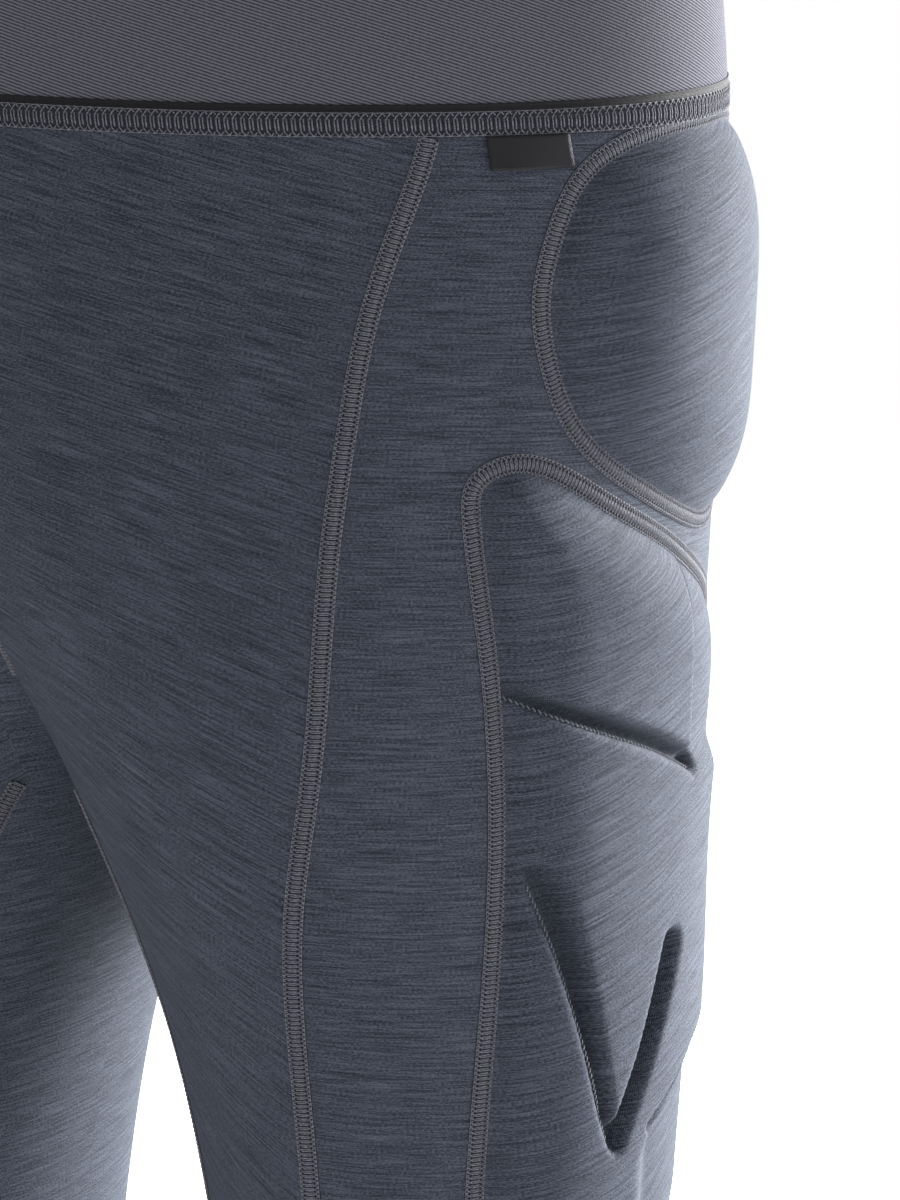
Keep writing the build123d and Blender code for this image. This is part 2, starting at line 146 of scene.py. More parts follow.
def cell_middle(grid: np.ndarray) -> np.ndarray:
    """Values in the middle of each cell of a sheet.

    Args:
        grid: Numbers or points as rows by columns.

    Returns:
        One value for each cell, from its two far corners.
    """
    return 0.5 * (grid[:-1, :-1] + grid[1:, 1:])


def cell_mean(grid: np.ndarray) -> np.ndarray:
    """Mean of the four corners of each cell of a sheet.

    Args:
        grid: Numbers or points as rows by columns.

    Returns:
        One value for each cell.
    """
    return 0.25 * (grid[:-1, :-1] + grid[1:, :-1] + grid[:-1, 1:] + grid[1:, 1:])


def to_object(name: str, verts: np.ndarray, faces: np.ndarray) -> bpy.types.Object:
    """Make a smooth-shaded mesh object in the scene.

    Args:
        name: Piece name.
        verts: Points in millimetres.
        faces: Corner numbers, one quad to a row.

    Returns:
        The new object.
    """
    mesh = bpy.data.meshes.new(name)
    quads = np.asarray(faces, np.int32)
    mesh.vertices.add(len(verts))
    mesh.vertices.foreach_set("co", (np.asarray(verts) * MM).astype(np.float32).ravel())
    mesh.loops.add(quads.size)
    mesh.loops.foreach_set("vertex_index", quads.ravel())
    mesh.polygons.add(len(quads))
    mesh.polygons.foreach_set("loop_start", np.arange(0, quads.size, 4, dtype=np.int32))
    mesh.update(calc_edges=True)
    mesh.polygons.foreach_set("use_smooth", np.full(len(quads), True))
    item = bpy.data.objects.new(name, mesh)
    bpy.context.scene.collection.objects.link(item)
    return item


def set_grain(item: bpy.types.Object, across: np.ndarray, along: np.ndarray) -> None:
    """Store the cloth's own lengths as a UV map, so weave and streaks stay on the cloth.

    Args:
        item: Mesh object.
        across: Per vertex length along the knit course, in metres.
        along: Per vertex length along the wale, in metres.
    """
    layer = item.data.uv_layers.new(name="Grain")
    index = np.empty(len(item.data.loops), np.int32)
    item.data.loops.foreach_get("vertex_index", index)
    pairs = np.stack([across[index], along[index]], axis=1).astype(np.float32)
    layer.data.foreach_set("uv", pairs.ravel())


def store_groove_shade(item: bpy.types.Object, dark: np.ndarray) -> None:
    """Store how deep the cloth lies in a groove, which the jersey shows as a painted shade on the groove
    floor.

    Args:
        item: Mesh object.
        dark: Per vertex share of painted groove shade, 0 to 1.
    """
    layer = item.data.attributes.new("GrooveShadePaint", "FLOAT", "POINT")
    layer.data.foreach_set("value", dark.astype(np.float32))


# ---------------------------------------------------------------- materials
Tree = bpy.types.NodeTree
Socket = bpy.types.NodeSocket


def add_node(tree: Tree, kind: str, inputs: dict | None = None, **settings) -> bpy.types.Node:
    """Add a shader node with its settings and its links or values.

    Args:
        tree: Node tree of the material.
        kind: Node type name.
        inputs: Socket name or number to a value or to another node's socket.
        **settings: Attributes of the node.

    Returns:
        The new node.
    """
    item = tree.nodes.new(kind)
    for key, value in settings.items():
        setattr(item, key, value)
    for key, value in (inputs or {}).items():
        if isinstance(value, bpy.types.NodeSocket):
            tree.links.new(value, item.inputs[key])
        else:
            item.inputs[key].default_value = value
    return item


def ramp(tree: Tree, source: Socket, stops: list[tuple[float, str]]) -> Socket:
    """Add a colour ramp.

    Args:
        tree: Node tree of the material.
        source: Socket that drives the ramp.
        stops: Position and sRGB hex colour of each stop.

    Returns:
        The ramp's colour socket.
    """
    item = add_node(tree, "ShaderNodeValToRGB", {"Fac": source})
    band = item.color_ramp
    while len(band.elements) < len(stops):
        band.elements.new(0.5)
    for element, (place, code) in zip(band.elements, stops):
        element.position = place
        element.color = linear(code)
    return item.outputs["Color"]


def stretched_noise(
    tree: Tree, coord: Socket, across: float, along: float, detail: float, rough: float = 0.55
) -> Socket:
    """Noise drawn out along the cloth's courses.

    Args:
        tree: Node tree of the material.
        coord: Grain coordinate socket, in metres.
        across: Features per metre along the course.
        along: Features per metre along the wale.
        detail: Octaves of the noise.
        rough: Roughness of the octaves.

    Returns:
        The noise factor socket.
    """
    scaled = add_node(tree, "ShaderNodeVectorMath", {0: coord, 1: (across, along, 1.0)}, operation="MULTIPLY")
    noise = add_node(
        tree,
        "ShaderNodeTexNoise",
        {"Vector": scaled.outputs[0], "Scale": 1.0, "Detail": detail, "Roughness": rough},
        noise_dimensions="2D",
    )
    return noise.outputs[0]


def knit_loops(tree: Tree, coord: Socket, wale_mm: float, course_mm: float) -> Socket:
    """Rows of chevron loops of a plain knit, bright on the loop and dark between.

    Args:
        tree: Node tree of the material.
        coord: Grain coordinate socket, in metres.
        wale_mm: Width of one column of loops.
        course_mm: Height of one row of loops.

    Returns:
        The loop height socket.
    """
    parts = add_node(tree, "ShaderNodeSeparateXYZ", {0: coord})
    column = add_node(tree, "ShaderNodeMath", {0: parts.outputs[0], 1: wale_mm * MM}, operation="PINGPONG")
    slant = add_node(tree, "ShaderNodeMath", {0: column.outputs[0], 1: 1.4}, operation="MULTIPLY")
    rows = add_node(tree, "ShaderNodeMath", {0: parts.outputs[1], 1: slant.outputs[0]}, operation="ADD")
    per_row = math.tau / (course_mm * MM)
    turns = add_node(tree, "ShaderNodeMath", {0: rows.outputs[0], 1: per_row}, operation="MULTIPLY")
    wave = add_node(tree, "ShaderNodeMath", {0: turns.outputs[0]}, operation="SINE")
    half = add_node(tree, "ShaderNodeMath", {0: wave.outputs[0], 1: 0.5, 2: 0.5}, operation="MULTIPLY_ADD")
    return half.outputs[0]


def start_material(name: str) -> tuple[bpy.types.Material, Tree, bpy.types.Node, Socket]:
    """Start a material with one principled shader.

    Args:
        name: Material name.

    Returns:
        The material, its tree, its shader and the grain coordinate socket.
    """
    material = bpy.data.materials.new(name)
    material.use_nodes = True
    tree = material.node_tree
    shader = tree.nodes["Principled BSDF"]
    grain = add_node(tree, "ShaderNodeUVMap", uv_map="Grain").outputs[0]
    return material, tree, shader, grain


def finish_shader(
    tree: Tree,
    shader: bpy.types.Node,
    tone: Socket,
    height: Socket,
    bump: tuple[float, float],
    rough: float,
    gloss: float,
) -> None:
    """Link a cloth's colour and relief, and set how it shines.

    Args:
        tree: Node tree of the material.
        shader: Its principled shader.
        tone: Colour socket.
        height: Relief socket.
        bump: Strength of the relief, and its depth in metres.
        rough: Roughness.
        gloss: Specular level.
    """
    relief = add_node(tree, "ShaderNodeBump", {"Height": height, "Strength": bump[0], "Distance": bump[1]})
    tree.links.new(tone, shader.inputs["Base Color"])
    tree.links.new(relief.outputs[0], shader.inputs["Normal"])
    shader.inputs["Roughness"].default_value = rough
    shader.inputs["Specular IOR Level"].default_value = gloss


def blended(tree: Tree, share: float, first: Socket, second: Socket) -> Socket:
    """Mix two number sockets.

    Args:
        tree: Node tree of the material.
        share: Share of the second.
        first: First socket.
        second: Second socket.

    Returns:
        The mixed socket.
    """
    return add_node(tree, "ShaderNodeMix", {0: share, 2: first, 3: second}, data_type="FLOAT").outputs[0]


@dataclass(frozen=True)
class HeatherJersey:
    """Melange polyester jersey, brushed: dark slate yarn with paler slubs running along the courses."""

    name: str = "heather_jersey_brushed"
    dark: str = "15181E"
    mid: str = "2A2E37"
    light: str = "4A4F5A"
    # slubs, flecks and dye patches: length along the course, then height in millimetres
    slub_mm: tuple = (13.0, 0.45)
    fleck_mm: tuple = (0.9, 0.4)
    patch_mm: tuple = (30.0, 0.8)
    wale_mm: float = 0.8
    course_mm: float = 0.55
    # painted shade: dark colour mixed into the groove floors of the thigh pad, by the share below, standing
    # in for the shadow in the grooves
    groove_shade_colour: str = "0C0E12"
    groove_shade_strength: float = 0.45

    def build(self) -> bpy.types.Material:
        """Make the material.

        Returns:
            The finished material.
        """
        material, tree, shader, grain = start_material(self.name)
        slub, fleck, patch = (
            stretched_noise(tree, grain, PER_METRE / size[0], PER_METRE / size[1], detail, rough)
            for size, detail, rough in (
                (self.slub_mm, 3.0, 0.65), (self.fleck_mm, 2.0, 0.75), (self.patch_mm, 2.0, 0.55)
            )
        )
        yarn = blended(tree, 0.22, blended(tree, 0.6, slub, fleck), patch)
        shaded = blended(tree, 0.16, yarn, knit_loops(tree, grain, self.wale_mm, self.course_mm))
        tone = ramp(tree, shaded, [(0.38, self.dark), (0.5, self.mid), (0.62, self.light)])
        # painted shade: in the grooves of the thigh pad the colour is mixed towards a dark shade, standing in
        # for the shadow in the grooves
        groove_shade_paint = add_node(tree, "ShaderNodeAttribute", attribute_name="GrooveShadePaint").outputs["Fac"]
        share = add_node(tree, "ShaderNodeMath", {0: groove_shade_paint, 1: self.groove_shade_strength}, operation="MULTIPLY")
        shade = {0: share.outputs[0], 6: tone, 7: linear(self.groove_shade_colour)}
        tone = add_node(tree, "ShaderNodeMix", shade, data_type="RGBA").outputs[2]
        finish_shader(tree, shader, tone, shaded, (0.5, 0.0004), 0.82, 0.06)
        # brushed fibre ends catch light near the outline of the body
        shader.inputs["Sheen Weight"].default_value = 0.04
        shader.inputs["Sheen Roughness"].default_value = 0.45
        shader.inputs["Sheen Tint"].default_value = linear("AEB4C2")
        return material


@dataclass(frozen=True)
class TwillElastic:
    """Woven elastic with diagonal twill ribs, rib_mm apart: mid grey ribs with dark valleys."""

    name: str = "twill_elastic_woven"
    low: str = "2C2C32"
    high: str = "57575F"
    rib_mm: float = 0.95
    slant_degrees: float = -17.0

    def build(self) -> bpy.types.Material:
        """Make the material.

        Returns:
            The finished material.
        """
        material, tree, shader, grain = start_material(self.name)
        slant = {"Vector": grain, "Rotation": (0.0, 0.0, math.radians(self.slant_degrees))}
        turned = add_node(tree, "ShaderNodeMapping", slant).outputs[0]
        # a wave texture of scale 1 has a band every tau / 20
        scale = math.tau / 20.0 / (self.rib_mm * MM)
        wave = {"Vector": turned, "Scale": scale, "Distortion": 0.6, "Detail": 2.0, "Detail Scale": 2.0}
        rib = add_node(tree, "ShaderNodeTexWave", wave, bands_direction="Y")
        mixed = blended(tree, 0.35, rib.outputs[1], stretched_noise(tree, grain, 1400.0, 500.0, 2.0))
        tone = ramp(tree, mixed, [(0.2, self.low), (0.75, self.high)])
        finish_shader(tree, shader, tone, mixed, (0.5, 0.0005), 0.85, 0.03)
        return material


@dataclass(frozen=True)
class SpunYarn:
    """Matt spun polyester sewing thread; soft grey with slightly uneven ply."""

    name: str = "overlock_thread_spun"
    low: str = "3A3B41"
    high: str = "62636B"

    def build(self) -> bpy.types.Material:
        """Make the material.

        Returns:
            The finished material.
        """
        material, tree, shader, grain = start_material(self.name)
        ply = stretched_noise(tree, grain, 900.0, 2600.0, 2.0)
        tone = ramp(tree, ply, [(0.3, self.low), (0.7, self.high)])
        finish_shader(tree, shader, tone, ply, (0.4, 0.0002), 0.75, 0.15)
        shader.inputs["Sheen Weight"].default_value = 0.05
        return material


@dataclass(frozen=True)
class PlainFinish:
    """One flat-dyed finish with a fine surface grain."""

    name: str
    low: str
    high: str
    grain_mm: float
    rough: float
    bump: float

    def build(self) -> bpy.types.Material:
        """Make the material.

        Returns:
            The finished material.
        """
        material, tree, shader, grain = start_material(self.name)
        scale = PER_METRE / self.grain_mm
        spots = stretched_noise(tree, grain, scale, scale, 4.0, 0.65)
        tone = ramp(tree, spots, [(0.35, self.low), (0.65, self.high)])
        finish_shader(tree, shader, tone, spots, (self.bump, 0.0005), self.rough, 0.15)
        return material


class Finish(Enum):
    """The finishes used on the garment."""

    JERSEY = HeatherJersey()
    TWILL = TwillElastic()
    THREAD = SpunYarn()
    # open-cell foam, cut: matt charcoal with fine pores
    FOAM = PlainFinish("impact_foam_open_cell", "1E2025", "34373E", 0.8, 0.95, 0.6)
    # ribbed gripper elastic: near-black, soft
    GRIPPER = PlainFinish("gripper_elastic_ribbed", "1B1C21", "2E3037", 0.6, 0.8, 0.4)
    # woven satin tag: black, slightly glossy
    TAG = PlainFinish("woven_label_satin", "08080A", "15151A", 0.3, 0.45, 0.3)
    # printed care label: plain white satin ribbon, left blank
    SATIN = PlainFinish("care_label_satin_ribbon", "C9C9C6", "DEDEDB", 0.2, 0.5, 0.3)
    # folded edge of the elastic: black binding yarn
    EDGE = PlainFinish("elastic_edge_binding", "0A0A0C", "17171B", 0.4, 0.8, 0.3)
    # overlapped cloth under the seam threads, darker than the panels: painted shade for the gaps between the
    # threads
    TAPE = PlainFinish("seam_overlap_painted_shade", "14151A", "24262D", 0.6, 0.9, 0.5)


MADE: dict[Finish, bpy.types.Material] = {}


def material_of(finish: Finish) -> bpy.types.Material:
    """The shared material of a finish, made at its first use.

    Args:
        finish: Finish wanted.

    Returns:
        Its material.
    """
    if finish not in MADE:
        MADE[finish] = finish.value.build()
    return MADE[finish]


def dress(item: bpy.types.Object, finish: Finish) -> None:
    """Give a piece its finish.

    Args:
        item: Piece to dress.
        finish: Finish to use.
    """
    item.data.materials.append(material_of(finish))


# ---------------------------------------------------------------- the body shape
@dataclass(frozen=True)
class BodyShape:
    """The wearer's left half that the cloth is cut for, as elliptical sections by depth below the waist."""

    levels: tuple = (
        (-12.0, 179.0, 0.0, -105.0, 117.0),
        (0.0, 180.0, 0.0, -106.0, 118.0),
        (42.0, 182.0, 0.0, -109.0, 123.0),
        (115.0, 177.0, 9.0, -115.0, 132.0),
        (170.0, 171.0, 36.0, -113.0, 136.0),
        (220.0, 165.0, 64.0, -106.0, 129.0),
        (263.0, 163.0, 77.0, -98.0, 111.0),
        (311.0, 163.5, 88.0, -88.0, 97.0),
        (366.0, 161.0, 94.0, -79.0, 87.0),
        (436.0, 158.0, 97.0, -70.0, 78.0),
        (500.0, 156.0, 99.0, -64.0, 71.0),
        (515.0, 155.0, 99.5, -63.0, 70.0),
    )

    def section(self, depth: np.ndarray) -> tuple[np.ndarray, ...]:
        """Centre and radii of the section at each depth.

        Args:
            depth: Depths below the waist.

        Returns:
            Centre x, x radius, centre y, y radius.
        """
        outer, centre, front, back = (curve_through(self.levels, depth, i) for i in (1, 2, 3, 4))
        return centre, outer - centre, (front + back) / 2.0, (back - front) / 2.0

    def point(self, turn: np.ndarray, depth: np.ndarray) -> np.ndarray:
        """Points on the shape.

        Args:
            turn: Angle round the leg; 0 front, pi/2 outer side, pi back.
            depth: Depths below the waist.

        Returns:
            Points with a last axis of 3.
        """
        c, a, m, b = self.section(depth)
        return np.stack([c + a * np.sin(turn), m - b * np.cos(turn), -depth + 0 * turn], axis=-1)

    def normal(self, turn: np.ndarray, depth: np.ndarray) -> np.ndarray:
        """Outward directions.

        Args:
            turn: Angle round the leg.
            depth: Depths below the waist.

        Returns:
            Unit vectors with a last axis of 3.
        """
        across = self.point(turn + 0.01, depth) - self.point(turn - 0.01, depth)
        down = self.point(turn, depth + 1.0) - self.point(turn, depth - 1.0)
        return unit(np.cross(across, -down))

    def turn_at_front(self, x: np.ndarray, depth: np.ndarray, back: bool = False) -> np.ndarray:
        """Angle of a place seen square from the front or back.

        Args:
            x: Distance from the middle line.
            depth: Depths below the waist.
            back: Whether the place is on the back.

        Returns:
            Angles round the leg.
        """
        c, a, _, _ = self.section(depth)
        angle = np.arcsin(np.clip((x - c) / a, -1.0, 1.0))
        return np.pi - angle if back else angle

    def turn_at_side(self, y: np.ndarray, depth: np.ndarray) -> np.ndarray:
        """Angle of a place seen square from the outer side.

        Args:
            y: Distance behind the middle.
            depth: Depths below the waist.

        Returns:
            Angles round the leg.
        """
        _, _, m, b = self.section(depth)
        return np.arccos(np.clip((m - y) / b, -1.0, 1.0))


SHAPE = BodyShape()


@dataclass(frozen=True)
class SeamLine:
    """A sewn line through a few places, seen square from one side."""

    places: tuple
    seen: str = "front"
    closed: bool = False

    def dense(self, step: float = 1.0) -> tuple[np.ndarray, np.ndarray]:
        """Closely spaced flat places along the line.

        Args:
            step: Wanted spacing.

        Returns:
            First coordinate (x or y) and depth.
        """
        p = np.array(self.places, float)
        if self.closed:
            p = np.vstack([p[-3:], p, p[:4]])
        run = np.concatenate([[0.0], np.cumsum(np.linalg.norm(np.diff(p, axis=0), axis=1))])
        first, last = (run[3], run[-4]) if self.closed else (run[0], run[-1])
        s = np.linspace(first, last, max(int((last - first) / step), 8))
        rows = tuple(zip(run, p[:, 0], p[:, 1]))
        return curve_through(rows, s, 1), curve_through(rows, s, 2)

    def at_depth(self, depth: np.ndarray) -> np.ndarray:
        """Where the line runs at each depth.

        Args:
            depth: Depths below the waist.

        Returns:
            First coordinates (x or y).
        """
        return curve_through(tuple((d, x) for x, d in self.places), depth)

    def trace(self, between: tuple[float, float] = (0.0, 600.0)) -> tuple[np.ndarray, np.ndarray]:
        """The line on the body shape.

        Args:
            between: Depths kept.

        Returns:
            Angles round the leg and depths.
        """
        flat, depth = self.dense()
        if self.seen == "side":
            turn = SHAPE.turn_at_side(flat, depth)
        else:
            turn = SHAPE.turn_at_front(flat, depth, self.seen == "back")
        keep = (depth >= between[0]) & (depth <= between[1])
        return turn[keep], depth[keep]


FRONT_SEAM = SeamLine(
    ((138, 20), (135, 48), (128, 74), (121, 102), (117, 130), (113, 168), (108, 235), (101, 278), (99, 340),
     (99, 520))
)
BACK_SEAM = SeamLine(((130, 20), (126, 47), (114, 150), (104, 250), (98, 345), (99, 520)), "back")
INSEAM = SeamLine(((-6, 228), (9, 250), (28, 290), (35, 325), (42, 352), (52, 420), (60, 520)))
HIP_LINE = SeamLine(
    ((8, 46), (-20, 49), (-37, 58), (-45, 76), (-48, 96), (-45, 114), (-38, 131), (-26, 144), (-8, 155),
     (20, 167), (48, 171), (70, 158), (82, 125), (80, 88), (60, 58), (36, 47)),
    "side",
    True,
)
THIGH_LINE = SeamLine(
    ((-63, 158), (-61.5, 147), (-54, 143), (-40, 147), (-24, 156.5), (7, 172), (40, 188), (62, 201),
     (74, 222), (73, 300), (68, 380), (62, 397), (50, 402), (0, 402), (-40, 402), (-51, 398), (-54, 386),
     (-55, 310), (-53, 250), (-57, 200)),
    "side",
    True,
)


GUSSET_HALF = 8.0
GUSSET_TOP = 215.0
INSEAM_TOP = 225.0
# the sheet counts as the outer side where the sine of its angle is above this
OUTER_SINE = 0.3


def inside(line: SeamLine, y: np.ndarray, depth: np.ndarray) -> np.ndarray:
    """Signed distance into a closed side outline.

    Args:
        line: Closed outline on the side.
        y: Distances behind the middle.
        depth: Depths below the waist.

    Returns:
        Millimetres inside, negative outside.
    """
    fy, fd = line.dense(4.0)
    shape = y.shape
    q = np.stack([y.ravel(), depth.ravel()], axis=1)
    best = np.full(len(q), 1e9)
    odd = np.zeros(len(q), bool)
    a = np.stack([fy, fd], axis=1)
    b = np.roll(a, -1, axis=0)
    for p, r in zip(a, b):
        e = r - p
        t = np.clip(((q - p) @ e) / max(e @ e, 1e-9), 0, 1)
        best = np.minimum(best, np.hypot(*(q - p - t[:, None] * e).T))
        crosses = (p[1] > q[:, 1]) != (r[1] > q[:, 1])
        at = p[0] + (q[:, 1] - p[1]) * e[0] / (e[1] if abs(e[1]) > 1e-9 else 1e-9)
        odd ^= crosses & (q[:, 0] < at)
    return (np.where(odd, 1.0, -1.0) * best).reshape(shape)


def off_line(places: tuple, y: np.ndarray, depth: np.ndarray) -> tuple[np.ndarray, np.ndarray]:
    """Distance from an open broken line, and which side of it.

    Args:
        places: Places (y, depth) in order.
        y: Distances behind the middle.
        depth: Depths below the waist.

    Returns:
        Distance, and signed distance (positive to the right of the walk).
    """
    best = np.full(y.shape, 1e9)
    side = np.zeros(y.shape)
    for (y0, d0), (y1, d1) in zip(places[:-1], places[1:]):
        ey, ed = y1 - y0, d1 - d0
        run = ey * ey + ed * ed
        t = np.clip(((y - y0) * ey + (depth - d0) * ed) / run, 0, 1)
        gap = np.hypot(y - y0 - t * ey, depth - d0 - t * ed)
        cross = ((y - y0) * ed - (depth - d0) * ey) / math.sqrt(run)
        near = gap < best
        side = np.where(near, cross, side)
        best = np.where(near, gap, best)
    return best, side


# ---------------------------------------------------------------- pads and grooves
def dome(inset: np.ndarray, start: float, full: float) -> np.ndarray:
    """Rounded shoulder of a pad: steep at the seam, easing onto the crown.

    Args:
        inset: Distances inside the seam line.
        start: Inset where the rise begins.
        full: Inset where the crown is reached.

    Returns:
        Values from 0 to 1.
    """
    share = np.clip((inset - start) / (full - start), 0.0, 1.0)
    return (1.0 - (1.0 - share) ** 2.6) * smooth(inset, start - 1.0, start + 5.0)


@dataclass(frozen=True)
class PadRelief:
    """How far the foam pushes each place of the outer cloth outward."""

    hip_rise: float = 11.5
    thigh_rise: float = 9.5
    deep: float = 0.78
    upper: tuple = ((-54, 211), (-44, 216), (-21, 226), (0, 234), (28, 246))
    rear: tuple = ((19, 180), (24, 212), (28, 246))
    v_front: tuple = ((-45, 270), (-39, 287), (-31, 312), (-21, 343), (-17, 352))
    v_rear: tuple = ((12, 298), (5, 312), (-3, 329), (-11, 344), (-15, 353))
    lower: tuple = ((46, 330), (29, 336), (16, 344), (2, 352))

    def press(self, y: np.ndarray, depth: np.ndarray) -> np.ndarray:
        """How far each place lies down in a groove; the same share also sets the painted shade in the
        grooves.

        Args:
            y: Distances behind the middle.
            depth: Depths below the waist.

        Returns:
            0 on the pad, 1 in the bottom of a groove.
        """
        closing = np.interp(depth, [275.0, 352.0], [1.0, 0.3])
        deepest = np.zeros(y.shape)
        for line, right, left in (
            (self.upper, 3.4, 0.3),
            (self.rear, 1.5, 1.3),
            (self.v_front, 6.6 * closing, 0.3),
            (self.v_rear, 4.4 * closing + 0.8, 4.2 * closing + 0.5),
            (self.lower, 0.9, 0.9),
        ):
            gap, side = off_line(line, y, depth)
            within = np.where(side > 0, right, left) - gap
            deepest = np.maximum(deepest, smooth(within, -1.6, 1.5))
        return deepest

    def lift(self, y: np.ndarray, depth: np.ndarray, outer: np.ndarray) -> np.ndarray:
        """Outward push of the cloth.

        Args:
            y: Distances behind the middle.
            depth: Depths below the waist.
            outer: Mask of the outer half of the garment.

        Returns:
            Millimetres outward.
        """
        hip = inside(HIP_LINE, y, depth)
        thigh = inside(THIGH_LINE, y, depth)
        rise = self.hip_rise * dome(hip, 1.0, 46.0)
        pad = self.thigh_rise * dome(thigh, 1.5, 30.0)
        behind = off_line(self.rear, y, depth)[1]
        pad = pad * (1.0 - 0.42 * smooth(behind, 0.0, 2.0) * smooth(-depth, -252.0, -240.0))
        past = off_line(self.lower, y, depth)[1]
        pad = pad * (1.0 - 0.5 * smooth(past, 0.0, 7.0) * smooth(y, -6.0, 8.0) * smooth(depth, 326.0, 336.0))
        pad = pad * (1.0 - self.deep * self.press(y, depth))
        return np.where(outer, rise + pad, 0.0)


RELIEF = PadRelief()


def eased(grid: np.ndarray, rounds: int = 3) -> np.ndarray:
    """Spread a grid of numbers a little, as cloth bridges a sharp edge.

    Args:
        grid: Numbers on the sheet.
        rounds: How many times neighbours are averaged.

    Returns:
        The softened grid.
    """
    for _ in range(rounds):
        wide = np.pad(grid, 1, mode="edge")
        around = wide[:-2, 1:-1] + wide[2:, 1:-1] + wide[1:-1, :-2] + wide[1:-1, 2:]
        grid = 0.5 * grid + 0.125 * around
    return grid


